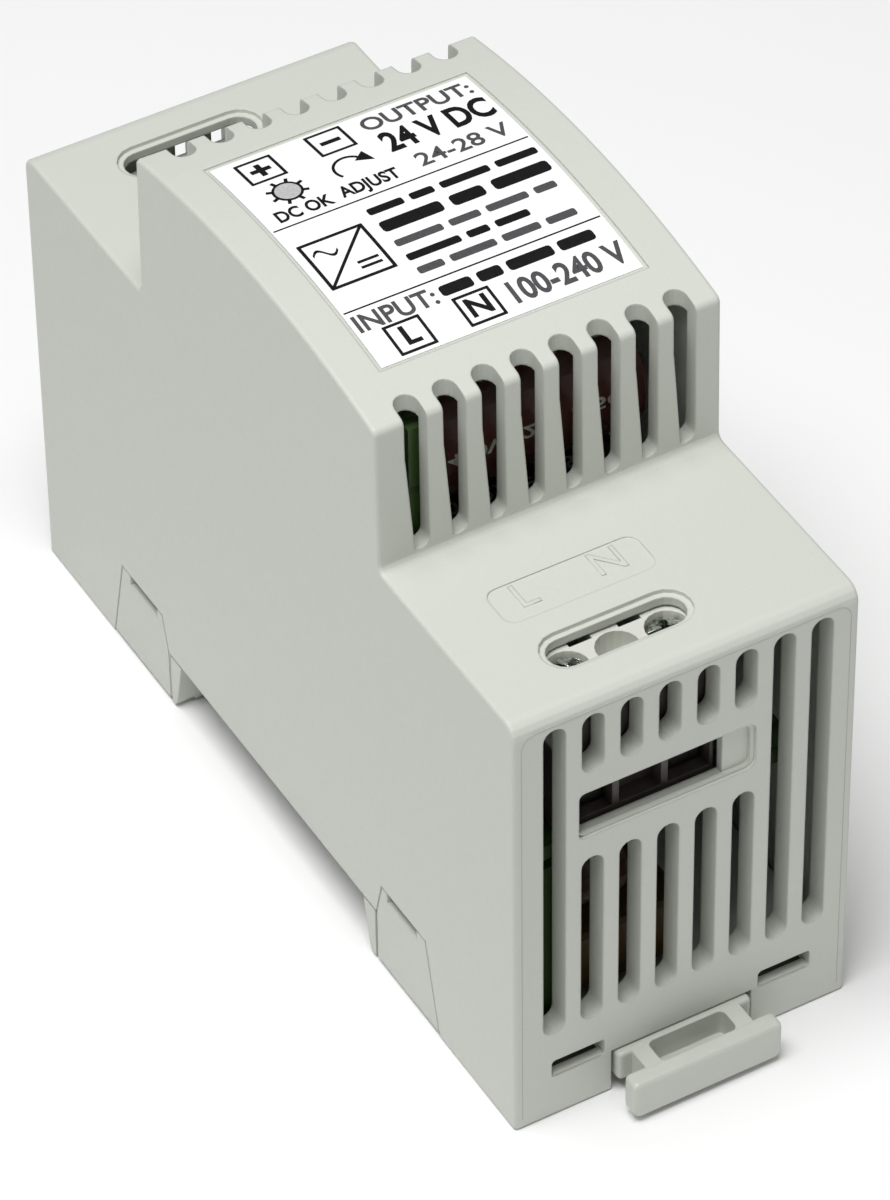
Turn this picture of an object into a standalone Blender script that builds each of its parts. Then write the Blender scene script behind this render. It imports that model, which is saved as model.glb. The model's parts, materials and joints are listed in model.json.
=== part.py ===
"""DIN rail power supply, two modules wide, with its housing, rail foot, terminals and electronics.

Frame: the origin is the middle of the rail seat, the face that rests on the front of the rail.
+Z points out of the labelled front face, +X runs across the module width and +Y runs from the
input terminals to the output terminals.

All sizes below are in millimetres. Heights are measured from the rail side of the housing, and an
empty carries every part down by the height of the rail seat at the end.
"""
import math

import bmesh
import bpy
from mathutils import Matrix, Vector

MM = 0.001

# Housing
HALF_WIDTH = 17.5
HALF_LENGTH = 45.0
SHOULDER_Z = 50.0
RAISED_Z = 66.0
CROWN_RISE = 2.3
RAISED_BASE_Y = 21.9
RAISED_TOP_Y = 21.6
SHOULDER_RADIUS = 1.5
RAISED_RADIUS = 0.7
FOOT_RADIUS = 0.8
SIDE_WALL = 1.6
END_WALL = 2.4
SHOULDER_PLATE = 1.3
RAISED_WALL = 1.5
TOP_PLATE = 1.8
EDGE_BEVEL = 0.3

# Vent slots
SLOT_COUNT = 8
SLOT_PITCH = 3.88
SLOT_CENTRE_X = 0.2
SLOT_WIDTH = 2.3
END_SLOT_LOW = 10.4
END_SLOT_HIGH = 48.2
SHORT_SLOT_LOW = 41.3
LOWER_SLOT_HIGH = 30.9
LONG_COLUMNS = (0, 6, 7)
VENT_END_Y = 18.9
VENT_LOW_Z = 50.9
VENT_TAPER = 0.75
VENT_TOP_LOW_Z = 61.5

# Wire window in each end wall, and the pocket behind it
WINDOW_X = (-10.9, 7.2)
WINDOW_Z = (33.5, 39.0)
WINDOW_OPEN_X = (-10.9, 4.1)
WINDOW_STEP = 0.7
POCKET_WALL = 1.6

# Screw access openings in the shoulders
ACCESS_X = -3.3
ACCESS_Y = 38.5
ACCESS_RIM = (15.0, 4.7)
ACCESS_HOLE = (13.8, 3.6)
ACCESS_RIM_DEPTH = 0.4

# Sunk panel for the terminal marks on the input shoulder
PANEL_CENTRE = (-3.45, -31.15)
PANEL_HALF = (7.65, 2.35)
PANEL_RADIUS = 1.2
PANEL_DEPTH = 0.1

# Label
LABEL_HALF_X = 13.2
LABEL_HALF_Y = 15.5
LABEL_RECESS = 0.5
LABEL_THICK = 0.22
LABEL_SINK = 0.12

# Rail side
SEAT_Z = 6.2
JAW_TOP_Y = 17.6
JAW_BOTTOM_Y = 18.7
CHEEK_Y = 19.75
TONGUE_TOP_Z = 10.35
TONGUE_TOP_Y = (21.0, 29.15)
TONGUE_FOOT_Y = (19.95, 31.5)
TONGUE_NOTCH_Y = (22.1, 27.5)
TONGUE_NOTCH_Z = 9.1
PLATE_THICK = 1.7
BLOCK_END_Y = 42.2
HOOK_REACH_Y = 16.4
HOOK_Z = (2.6, 4.8)
LATCH_WINDOW_X = (8.1, 13.65)
LATCH_WINDOW_Z = (4.8, 6.9)
LATCH_HALF_X = 1.6

# Rail foot
FOOT_TOP_Z = 4.7
FOOT_LOW_Z = 1.4
FOOT_HALF_X = 7.05
FOOT_NOSE_Y = 16.2
FOOT_REACH_Y = 49.8
DRIVER_FLOOR_Z = 1.9
NOTCH_HALF_X = 7.4
NOTCH_Z = 4.95

# Boards
BOARD_X = (-12.9, -11.3)
BOARD_LONG_Y = 41.8
BOARD_LOW_Z = 8.6
BOARD_TOP_Z = 62.6
FACE_X = BOARD_X[1] + 0.3

# Terminals
INPUT_POLES = (-8.5, -3.5, 1.5)
INPUT_USED = {"line": -8.5, "neutral": 1.5}
OUTPUT_POLES = (-9.1, -5.3, -1.5, 2.3)
OUTPUT_NAMES = ("plus_1", "plus_2", "minus_1", "minus_2")
SCREW_Y = 39.1
BLOCK_Y = (34.6, 43.0)
BLOCK_LOW_Z = 31.2
INPUT_TOP_Z = 48.4
OUTPUT_TOP_Z = 46.6
OUTPUT_EDGE_Y = 41.2
OUTPUT_EDGE_DROP = 1.3
BAR_Z = (39.6, 40.2)
CAGE_Z = (33.9, 41.7)
HEAD_SINK = 0.25
SCREW_HOLE_FLOOR_Z = 43.6
BLIND_HOLE_DEPTH = 2.5
ENTRY_Z = (33.9, 38.9)
CHAMBER_Z = (33.6, 45.0)

# Adjusting trimmer and status light
TRIMMER_X = SLOT_CENTRE_X + (2 - (SLOT_COUNT - 1) / 2) * SLOT_PITCH
TRIMMER_Z = 56.0
LIGHT_X = -9.1
LIGHT_Y = 8.9

CROWN_RADIUS = (RAISED_TOP_Y**2 + CROWN_RISE**2) / (2 * CROWN_RISE)
CROWN_CENTRE_Z = RAISED_Z + CROWN_RISE - CROWN_RADIUS

PALETTE = {
    "shell_plastic": ((0.60, 0.62, 0.56), 0.55, 0.0),
    "base_plastic": ((0.56, 0.58, 0.53), 0.6, 0.0),
    "label_film": ((0.90, 0.90, 0.90), 0.35, 0.0),
    "board_green": ((0.02, 0.13, 0.04), 0.45, 0.0),
    "terminal_plastic": ((0.66, 0.67, 0.64), 0.5, 0.0),
    "zinc_steel": ((0.62, 0.63, 0.60), 0.28, 1.0),
    "brass_plate": ((0.70, 0.62, 0.42), 0.3, 1.0),
    "tin_plate": ((0.72, 0.72, 0.70), 0.3, 1.0),
    "ferrite": ((0.05, 0.05, 0.055), 0.6, 0.0),
    "winding_tape": ((0.75, 0.55, 0.08), 0.4, 0.0),
    "black_plastic": ((0.02, 0.02, 0.02), 0.45, 0.0),
    "copper_wire": ((0.55, 0.22, 0.09), 0.3, 1.0),
    "film_box": ((0.72, 0.58, 0.10), 0.45, 0.0),
    "fuse_brown": ((0.16, 0.06, 0.03), 0.4, 0.0),
    "disc_blue": ((0.04, 0.12, 0.38), 0.4, 0.0),
    "sleeve_brown": ((0.10, 0.045, 0.03), 0.4, 0.0),
    "heatsink_aluminium": ((0.70, 0.71, 0.72), 0.35, 1.0),
    "lens_clear": ((0.78, 0.84, 0.78), 0.15, 0.0),
    "led_green": ((0.10, 0.55, 0.12), 0.25, 0.0),
    "trimmer_blue": ((0.03, 0.14, 0.42), 0.4, 0.0),
}

AXIS_FRAMES = {
    "X": Matrix(((0, 0, 1, 0), (1, 0, 0, 0), (0, 1, 0, 0), (0, 0, 0, 1))),
    "Y": Matrix(((1, 0, 0, 0), (0, 0, -1, 0), (0, 1, 0, 0), (0, 0, 0, 1))),
    "Z": Matrix.Identity(4),
}


def start_scene():
    """Empty the scene and make the two collections."""
    for item in list(bpy.data.objects):
        bpy.data.objects.remove(item, do_unlink=True)
    groups = {}
    for name in ("din_rail_power_supply", "cutters"):
        groups[name] = bpy.data.collections.new(name)
        bpy.context.scene.collection.children.link(groups[name])
    return groups["din_rail_power_supply"], groups["cutters"]


PARTS, CUTTERS = start_scene()


# ---------------------------------------------------------------- shape tools

def add_object(name, mesh):
    """Put a mesh in the parts collection as an object."""
    item = bpy.data.objects.new(name, mesh)
    PARTS.objects.link(item)
    return item


def object_from_bmesh(name, shape):
    """Turn a bmesh in millimetres into an object in metres."""
    bmesh.ops.recalc_face_normals(shape, faces=shape.faces)
    shape.transform(Matrix.Scale(MM, 4))
    mesh = bpy.data.meshes.new(name)
    shape.to_mesh(mesh)
    shape.free()
    return add_object(name, mesh)


def as_mesh_object(source, name):
    """Replace a curve or a modified object by the plain mesh that it makes."""
    bpy.context.view_layer.update()
    seen = source.evaluated_get(bpy.context.evaluated_depsgraph_get())
    mesh = bpy.data.meshes.new_from_object(seen)
    mesh.transform(source.matrix_world)
    bpy.data.objects.remove(source, do_unlink=True)
    shape = bmesh.new()
    shape.from_mesh(mesh)
    bmesh.ops.remove_doubles(shape, verts=shape.verts, dist=1e-6)
    bmesh.ops.dissolve_limit(shape, angle_limit=0.002, verts=shape.verts, edges=shape.edges)
    bmesh.ops.recalc_face_normals(shape, faces=shape.faces)
    shape.to_mesh(mesh)
    shape.free()
    return add_object(name, mesh)


def box(name, xs, ys, zs):
    """A block between three pairs of limits."""
    shape = bmesh.new()
    middle = Vector(((xs[0] + xs[1]) / 2, (ys[0] + ys[1]) / 2, (zs[0] + zs[1]) / 2))
    size = Vector((abs(xs[1] - xs[0]), abs(ys[1] - ys[0]), abs(zs[1] - zs[0])))
    bmesh.ops.create_cube(shape, size=1.0, matrix=Matrix.Translation(middle) @ Matrix.Diagonal((*size, 1)))
    return object_from_bmesh(name, shape)


def cylinder(name, radius, start, length, axis="Z", segments=20):
    """A round bar from its start point along an axis."""
    shape = bmesh.new()
    bmesh.ops.create_cone(shape, cap_ends=True, segments=segments, radius1=radius, radius2=radius,
                          depth=length, matrix=Matrix.Translation((0, 0, length / 2)))
    turn = {"X": Matrix.Rotation(math.pi / 2, 4, "Y"), "Y": Matrix.Rotation(-math.pi / 2, 4, "X"),
            "Z": Matrix.Identity(4)}[axis]
    shape.transform(Matrix.Translation(start) @ turn)
    return object_from_bmesh(name, shape)


def outline_solid(name, points, axis, low, high):
    """Extrude a flat outline between two heights along an axis."""
    curve = bpy.data.curves.new(name, "CURVE")
    curve.dimensions = "2D"
    curve.fill_mode = "BOTH"
    curve.extrude = (high - low) / 2 * MM
    spline = curve.splines.new("POLY")
    spline.points.add(len(points) - 1)
    for point, (u, v) in zip(spline.points, points):
        point.co = (u * MM, v * MM, 0, 1)
    spline.use_cyclic_u = True
    source = add_object(name + "_outline", curve)
    middle = (low + high) / 2 * MM
    offset = {"X": (middle, 0, 0), "Y": (0, middle, 0), "Z": (0, 0, middle)}[axis]
    source.matrix_world = Matrix.Translation(offset) @ AXIS_FRAMES[axis]
    return as_mesh_object(source, name)


def turned(name, profile, start=(0, 0, 0), axis="Z", steps=20):
    """Turn a profile of (radius, height) points about an axis."""
    mesh = bpy.data.meshes.new(name)
    corners = [(radius * MM, 0, height * MM) for radius, height in profile]
    mesh.from_pydata(corners, [(i, i + 1) for i in range(len(corners) - 1)], [])
    source = add_object(name + "_profile", mesh)
    screw = source.modifiers.new("turn", "SCREW")
    screw.steps = steps
    screw.render_steps = steps
    screw.use_merge_vertices = True
    screw.merge_threshold = 1e-6
    turn = {"X": Matrix.Rotation(math.pi / 2, 4, "Y"), "Y": Matrix.Rotation(-math.pi / 2, 4, "X"),
            "Z": Matrix.Identity(4)}[axis]
    source.matrix_world = Matrix.Translation(Vector(start) * MM) @ turn
    return as_mesh_object(source, name)


def arc(centre, radius, start, end, steps):
    """Points on an arc, both ends included, with angles in degrees."""
    points = []
    for i in range(steps + 1):
        angle = math.radians(start + (end - start) * i / steps)
        points.append((centre[0] + radius * math.cos(angle), centre[1] + radius * math.sin(angle)))
    return points


def rounded(corners, steps=4):
    """Round the corners of an outline given as (u, v, radius), with 0 for a sharp corner."""
    points = []
    count = len(corners)
    for i, (u, v, radius) in enumerate(corners):
        here = Vector((u, v))
        if radius == 0:
            points.append((u, v))
            continue
        before = (Vector(corners[i - 1][:2]) - here).normalized()
        after = (Vector(corners[(i + 1) % count][:2]) - here).normalized()
        half = before.angle(after) / 2
        reach = radius / math.tan(half)
        centre = here + (before + after).normalized() * (radius / math.sin(half))
        first = here + before * reach - centre
        last = here + after * reach - centre
        sweep = first.angle_signed(last)
        for k in range(steps + 1):
            spot = centre + Matrix.Rotation(-sweep * k / steps, 2) @ first
            points.append((spot.x, spot.y))
    return points


def obround(centre, size, steps=6):
    """Outline of a slot with round ends along its longer side."""
    width, height = size
    radius = min(width, height) / 2
    reach_u = max(width / 2 - radius, 0)
    reach_v = max(height / 2 - radius, 0)
    if width >= height:
        ends = ((centre[0] + reach_u, centre[1], -90), (centre[0] - reach_u, centre[1], 90))
    else:
        ends = ((centre[0], centre[1] + reach_v, 0), (centre[0], centre[1] - reach_v, 180))
    points = []
    for u, v, angle in ends:
        points += arc((u, v), radius, angle, angle + 180, steps)
    return points


def together(name, pieces):
    """Gather separate pieces into one object, for use as a cutter."""
    shape = bmesh.new()
    for piece in pieces:
        piece.data.transform(piece.matrix_world)
        shape.from_mesh(piece.data)
        bpy.data.objects.remove(piece, do_unlink=True)
    mesh = bpy.data.meshes.new(name)
    shape.to_mesh(mesh)
    shape.free()
    return add_object(name, mesh)


def combine(target, tool, operation):
    """Give the target a Boolean with a hidden tool object."""
    PARTS.objects.unlink(tool)
    CUTTERS.objects.link(tool)
    tool.hide_render = True
    tool.display_type = "WIRE"
    change = target.modifiers.new(tool.name, "BOOLEAN")
    change.operation = operation
    change.solver = "EXACT"
    change.object = tool


def cut(target, tool):
    combine(target, tool, "DIFFERENCE")


def join(target, tool):
    combine(target, tool, "UNION")


def bevel(target, width, segments=2, angle=40):
    """Round the edges sharper than an angle in degrees."""
    change = target.modifiers.new("edges", "BEVEL")
    change.width = width * MM
    change.segments = segments
    change.limit_method = "ANGLE"
    change.angle_limit = math.radians(angle)
    change.use_clamp_overlap = False


def set_origin(target, point):
    """Move the object's origin to a point in millimetres without moving its shape."""
    spot = Vector(point) * MM
    target.data.transform(Matrix.Translation(-spot))
    target.location = spot


def finish(target, material_name):
    """Shade the object and give it its own material."""
    target.data.shade_smooth()
    target.data.set_sharp_from_angle(angle=math.radians(35))
    color, roughness, metallic = PALETTE[material_name]
    material = bpy.data.materials.new(target.name + "_" + material_name)
    material.use_nodes = True
    shader = material.node_tree.nodes["Principled BSDF"]
    shader.inputs["Base Color"].default_value = (*color, 1)
    shader.inputs["Roughness"].default_value = roughness
    shader.inputs["Metallic"].default_value = metallic
    material.diffuse_color = (*color, 1)
    target.data.materials.clear()
    target.data.materials.append(material)
    return target


# ---------------------------------------------------------------- housing

def column_x(index):
    """Centre of a vent slot column."""
    return SLOT_CENTRE_X + (index - (SLOT_COUNT - 1) / 2) * SLOT_PITCH


def crown_z(y, depth=0.0):
    """Height of the curved front face, or of a face a given depth under it."""
    return CROWN_CENTRE_Z + math.sqrt((CROWN_RADIUS - depth)**2 - y * y)


def crown_points(half_y, depth, steps):
    """Points along the curved front face from +Y to -Y."""
    points = []
    for i in range(steps + 1):
        y = half_y - 2 * half_y * i / steps
        points.append((y, crown_z(y, depth)))
    return points


def housing_outline():
    """Side outline of the cover with its rounded shoulders and curved front."""
    half = [(HALF_LENGTH, -3, 0), (HALF_LENGTH, SHOULDER_Z, SHOULDER_RADIUS),
            (RAISED_BASE_Y, SHOULDER_Z, FOOT_RADIUS), (RAISED_TOP_Y, crown_z(RAISED_TOP_Y), RAISED_RADIUS)]
    crown = [(y, z, 0) for y, z in crown_points(RAISED_TOP_Y - 2, 0, 13)]
    other = [(-y, z, radius) for y, z, radius in reversed(half)]
    return rounded(half + crown + other)


def cavity_outline():
    """Side outline of the space inside the cover, open at the rail side."""
    end_y = HALF_LENGTH - END_WALL
    raised_y = RAISED_TOP_Y - RAISED_WALL
    half = [(end_y, -5), (end_y, SHOULDER_Z - SHOULDER_PLATE), (raised_y, SHOULDER_Z - SHOULDER_PLATE)]
    crown = crown_points(raised_y, TOP_PLATE, 9)
    return half + crown + [(-y, z) for y, z in reversed(half)]


def end_slot_cutters(side):
    """The vent slots of one end wall, side -1 for the input end and 1 for the output end."""
    pieces = []
    for index in range(SLOT_COUNT):
        if index in LONG_COLUMNS:
            spans = ((END_SLOT_LOW, END_SLOT_HIGH),)
        else:
            spans = ((SHORT_SLOT_LOW, END_SLOT_HIGH), (END_SLOT_LOW, LOWER_SLOT_HIGH))
        for low, high in spans:
            outline = obround((column_x(index), (low + high) / 2), (SLOT_WIDTH, high - low), 8)
            limits = sorted((side * (HALF_LENGTH - END_WALL - 0.5), side * (HALF_LENGTH + 1)))
            pieces.append(outline_solid("slot", outline, "Y", *limits))
    return together("end_slots_%d" % side, pieces)


def crown_vent_cutters(side):
    """The round-ended upper parts of the raised vents, cut down through the curved front."""
    pieces = []
    outer_y = RAISED_BASE_Y + 2
    length = outer_y - VENT_END_Y + SLOT_WIDTH / 2
    for index in range(SLOT_COUNT):
        centre_y = side * (VENT_END_Y + length / 2)
        outline = obround((column_x(index), centre_y), (SLOT_WIDTH, length), 8)
        pieces.append(outline_solid("vent", outline, "Z", VENT_TOP_LOW_Z, RAISED_Z + 3))
    return together("crown_vents_%d" % side, pieces)


def wall_vent_cutters(side):
    """The lower parts of the raised vents, narrower towards a rounded foot above the shoulder."""
    pieces = []
    limits = sorted((side * (RAISED_TOP_Y - RAISED_WALL - 0.6), side * (RAISED_BASE_Y + 2)))
    for index in range(SLOT_COUNT):
        left = column_x(index) - SLOT_WIDTH / 2
        right = left + SLOT_WIDTH
        outline = rounded([(left, VENT_TOP_LOW_Z + 0.4, 0), (left + VENT_TAPER, VENT_LOW_Z, 0.35),
                           (right, VENT_LOW_Z, 0.95), (right, VENT_TOP_LOW_Z + 0.4, 0)], 4)
        pieces.append(outline_solid("vent", outline, "Y", *limits))
    return together("wall_vents_%d" % side, pieces)


def make_cover():
    """The one-piece front cover with its vents, windows and access openings."""
    cover = outline_solid("cover", housing_outline(), "X", -HALF_WIDTH, HALF_WIDTH)
    bevel(cover, EDGE_BEVEL, segments=2, angle=60)
    inner = HALF_WIDTH - SIDE_WALL
    cut(cover, outline_solid("cover_cavity", cavity_outline(), "X", -inner, inner))
    lean = (TONGUE_FOOT_Y[1] - TONGUE_TOP_Y[1]) / TONGUE_TOP_Z
    lower = [(-TONGUE_FOOT_Y[1] - 6 * lean, -6), (-TONGUE_TOP_Y[1], TONGUE_TOP_Z),
             (-TONGUE_TOP_Y[0], TONGUE_TOP_Z), (-TONGUE_FOOT_Y[0], SEAT_Z + 0.05)]
    lower += [(-y, z) for y, z in reversed(lower)]
    cut(cover, outline_solid("side_cutout", lower, "X", -HALF_WIDTH - 1, HALF_WIDTH + 1))
    wide, long = HALF_WIDTH + 1, HALF_LENGTH + 1
    cut(cover, box("floor_trim", (-wide, wide), (-long, long), (-7, 0)))
    recess = crown_points(LABEL_HALF_Y + 0.4, LABEL_RECESS, 12)
    recess += [(-LABEL_HALF_Y - 0.4, RAISED_Z + 5), (LABEL_HALF_Y + 0.4, RAISED_Z + 5)]
    half_x = LABEL_HALF_X + 0.4
    cut(cover, outline_solid("label_recess", recess, "X", -half_x, half_x))
    cut(cover, cylinder("light_hole", 1.6, (LIGHT_X, LIGHT_Y, RAISED_Z - 2), 5, segments=16))
    for side in (-1, 1):
        cut(cover, end_slot_cutters(side))
        cut(cover, crown_vent_cutters(side))
        cut(cover, wall_vent_cutters(side))
        cut_end_openings(cover, side)
    cut(cover, mark_panel())
    notch_y = (-long, -HALF_LENGTH + END_WALL + 1)
    cut(cover, box("foot_notch", (-NOTCH_HALF_X, NOTCH_HALF_X), notch_y, (-1, NOTCH_Z)))
    return finish(cover, "shell_plastic")


def mark_panel():
    """The shallow sunk panel for the terminal marks."""
    x, y = PANEL_CENTRE
    half_x, half_y = PANEL_HALF
    corners = [(x - half_x, y - half_y, PANEL_RADIUS), (x + half_x, y - half_y, PANEL_RADIUS),
               (x + half_x, y + half_y, PANEL_RADIUS), (x - half_x, y + half_y, PANEL_RADIUS)]
    return outline_solid("mark_panel", rounded(corners, 4), "Z", SHOULDER_Z - PANEL_DEPTH, SHOULDER_Z + 1)


def cut_end_openings(cover, side):
    """Cut the access opening, the wire window and the latch windows at one end."""
    centre = (ACCESS_X, side * ACCESS_Y)
    rim_floor = SHOULDER_Z - ACCESS_RIM_DEPTH
    rim = obround(centre, ACCESS_RIM, 8)
    hole = obround(centre, ACCESS_HOLE, 8)
    plate_low = SHOULDER_Z - SHOULDER_PLATE - 1
    cut(cover, outline_solid("access_rim_%d" % side, rim, "Z", rim_floor, SHOULDER_Z + 1))
    cut(cover, outline_solid("access_hole_%d" % side, hole, "Z", plate_low, rim_floor + 0.2))
    face = side * HALF_LENGTH
    step = side * (HALF_LENGTH - WINDOW_STEP)
    back = side * (HALF_LENGTH - END_WALL - 1)
    window = rounded([(WINDOW_X[0], WINDOW_Z[0], 0.6), (WINDOW_X[1], WINDOW_Z[0], 1.0),
                      (WINDOW_X[1], WINDOW_Z[1], 1.0), (WINDOW_X[0], WINDOW_Z[1], 0.6)], 3)
    cut(cover, outline_solid("window_step_%d" % side, window, "Y", *sorted((step, face + side))))
    low_z, high_z = WINDOW_Z[0] + 0.15, WINDOW_Z[1] - 0.15
    open_x = (WINDOW_OPEN_X[0] + 0.15, WINDOW_OPEN_X[1])
    depth = sorted((back, step + side * 0.2))
    cut(cover, box("window_open_%d" % side, open_x, depth, (low_z, high_z)))
    pocket_face = side * (HALF_LENGTH - POCKET_WALL)
    cut(cover, box("window_pocket_%d" % side, (WINDOW_OPEN_X[0] - 0.5, WINDOW_OPEN_X[1] + 0.6),
                   sorted((back, pocket_face)), (BLOCK_LOW_Z - 2.4, 40.6)))
    latches = []
    for sign in (-1, 1):
        left, right = sorted((sign * LATCH_WINDOW_X[0], sign * LATCH_WINDOW_X[1]))
        corners = [(left, LATCH_WINDOW_Z[0], 0.4), (right, LATCH_WINDOW_Z[0], 0.4),
                   (right, LATCH_WINDOW_Z[1], 0.4), (left, LATCH_WINDOW_Z[1], 0.4)]
        latches.append(outline_solid("latch", rounded(corners, 3), "Y", *sorted((back, face + side))))
    cut(cover, together("latch_windows_%d" % side, latches))


def make_label():
    """The curved label film in its recess."""
    upper = crown_points(LABEL_HALF_Y, LABEL_SINK, 14)
    lower = crown_points(LABEL_HALF_Y, LABEL_SINK + LABEL_THICK, 14)
    label = outline_solid("label", upper + lower[::-1], "X", -LABEL_HALF_X, LABEL_HALF_X)
    return finish(label, "label_film")


# ---------------------------------------------------------------- rail side

def base_outline():
    """Side outline of the rail base: the seat between two jaw blocks."""
    plate_top = SEAT_Z + PLATE_THICK
    half = [(JAW_TOP_Y, SEAT_Z), (JAW_BOTTOM_Y, 0.3), (BLOCK_END_Y, 0.3), (BLOCK_END_Y, plate_top)]
    return half + [(-y, z) for y, z in reversed(half)]


def make_base():
    """The rail base with fixed hooks, jaw cheeks, snap tongues and the foot channel."""
    inner = HALF_WIDTH - SIDE_WALL - 0.3
    base = outline_solid("rail_base", base_outline(), "X", -inner, inner)
    for side in (-1, 1):
        for sign in (-1, 1):
            add_corner(base, side, sign, inner)
            add_latch_nose(base, side, sign)
    hook = [(JAW_TOP_Y + 1.5, HOOK_Z[1]), (HOOK_REACH_Y, HOOK_Z[1]), (HOOK_REACH_Y, HOOK_Z[1] - 0.7),
            (JAW_TOP_Y, HOOK_Z[0]), (JAW_TOP_Y + 1.5, HOOK_Z[0])]
    for low, high in ((-12, -3), (3, 12)):
        join(base, outline_solid("rail_hook_%d" % high, hook, "X", low, high))
    half = [(NOTCH_HALF_X, -1), (NOTCH_HALF_X, 2.05), (8.6, 2.05), (8.6, 3.85), (NOTCH_HALF_X, 3.85),
            (NOTCH_HALF_X, 5.0)]
    channel = half + [(-x, z) for x, z in reversed(half)]
    cut(base, outline_solid("foot_channel", channel, "Y", -BLOCK_END_Y - 1, -JAW_TOP_Y - 2.2))
    mouth_y = (-JAW_TOP_Y - 3, -JAW_TOP_Y + 2)
    cut(base, box("channel_mouth", (-NOTCH_HALF_X, NOTCH_HALF_X), mouth_y, (-1, 5.0)))
    pockets = []
    for low, high in ((-14.2, -5.3), (-4.3, 4.3), (5.3, 14.2)):
        pockets.append(box("pocket", (low, high), (20.6, 40.8), (-1, 6.4)))
    for low, high in ((-14.2, -9.8), (9.8, 14.2)):
        pockets.append(box("pocket", (low, high), (-30.4, -20.6), (-1, 6.4)))
        pockets.append(box("pocket", (low, high), (-40.8, -31.6), (-1, 6.4)))
    cut(base, together("mould_pockets", pockets))
    vents = [outline_solid("vent", obround((x, 0), (2.2, 24)), "Z", SEAT_Z - 1, SEAT_Z + PLATE_THICK + 1)
             for x in (-12.5, -7.5, -2.5, 2.5, 7.5, 12.5)]
    cut(base, together("base_vents", vents))
    return finish(base, "base_plastic")


def add_corner(base, side, sign, inner):
    """Join one outer jaw cheek and one snap tongue to the base."""
    cheek = [(JAW_TOP_Y, SEAT_Z - 0.25), (JAW_BOTTOM_Y, 0.7), (JAW_BOTTOM_Y + 0.4, 0.1), (CHEEK_Y, 0.1),
             (CHEEK_Y, SEAT_Z - 0.25)]
    cheek = [(side * y, z) for y, z in cheek]
    limits = sorted((sign * (inner - 0.8), sign * HALF_WIDTH))
    join(base, outline_solid("cheek_%d_%d" % (side, sign), cheek, "X", *limits))
    gap = 0.17
    foot_y = (TONGUE_FOOT_Y[0] + gap, TONGUE_FOOT_Y[1] - gap - 0.05)
    top_y = (TONGUE_TOP_Y[0] + gap, TONGUE_TOP_Y[1] - gap)
    top_z = TONGUE_TOP_Z - gap
    tongue = [(foot_y[0], 0.3), (foot_y[0], SEAT_Z), (top_y[0], top_z), (TONGUE_NOTCH_Y[0], top_z),
              (TONGUE_NOTCH_Y[0], TONGUE_NOTCH_Z), (TONGUE_NOTCH_Y[1], TONGUE_NOTCH_Z),
              (TONGUE_NOTCH_Y[1], top_z), (top_y[1], top_z), (foot_y[1], 0.3)]
    tongue = [(side * y, z) for y, z in tongue]
    limits = sorted((sign * (inner + 0.45), sign * HALF_WIDTH))
    join(base, outline_solid("tongue_%d_%d" % (side, sign), tongue, "X", *limits))
    join(base, box("tongue_root_%d_%d" % (side, sign), sorted((sign * (inner - 0.6), sign * (inner + 1.1))),
                   sorted((side * 21.4, side * 30.2)), (0.55, 2.4)))


def add_latch_nose(base, side, sign):
    """Join one end latch that shows in a latch window of the cover."""
    nose = [(BLOCK_END_Y - 0.8, 5.7), (BLOCK_END_Y + 0.7, 5.9), (BLOCK_END_Y + 1.3, 6.3),
            (BLOCK_END_Y + 0.7, 6.7), (BLOCK_END_Y - 0.8, 6.7)]
    nose = [(side * y, z) for y, z in nose]
    centre_x = sign * (LATCH_WINDOW_X[0] + LATCH_WINDOW_X[1]) / 2 - 0.7
    limits = (centre_x - LATCH_HALF_X, centre_x + LATCH_HALF_X)
    join(base, outline_solid("latch_nose_%d_%d" % (side, sign), nose, "X", *limits))


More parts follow.
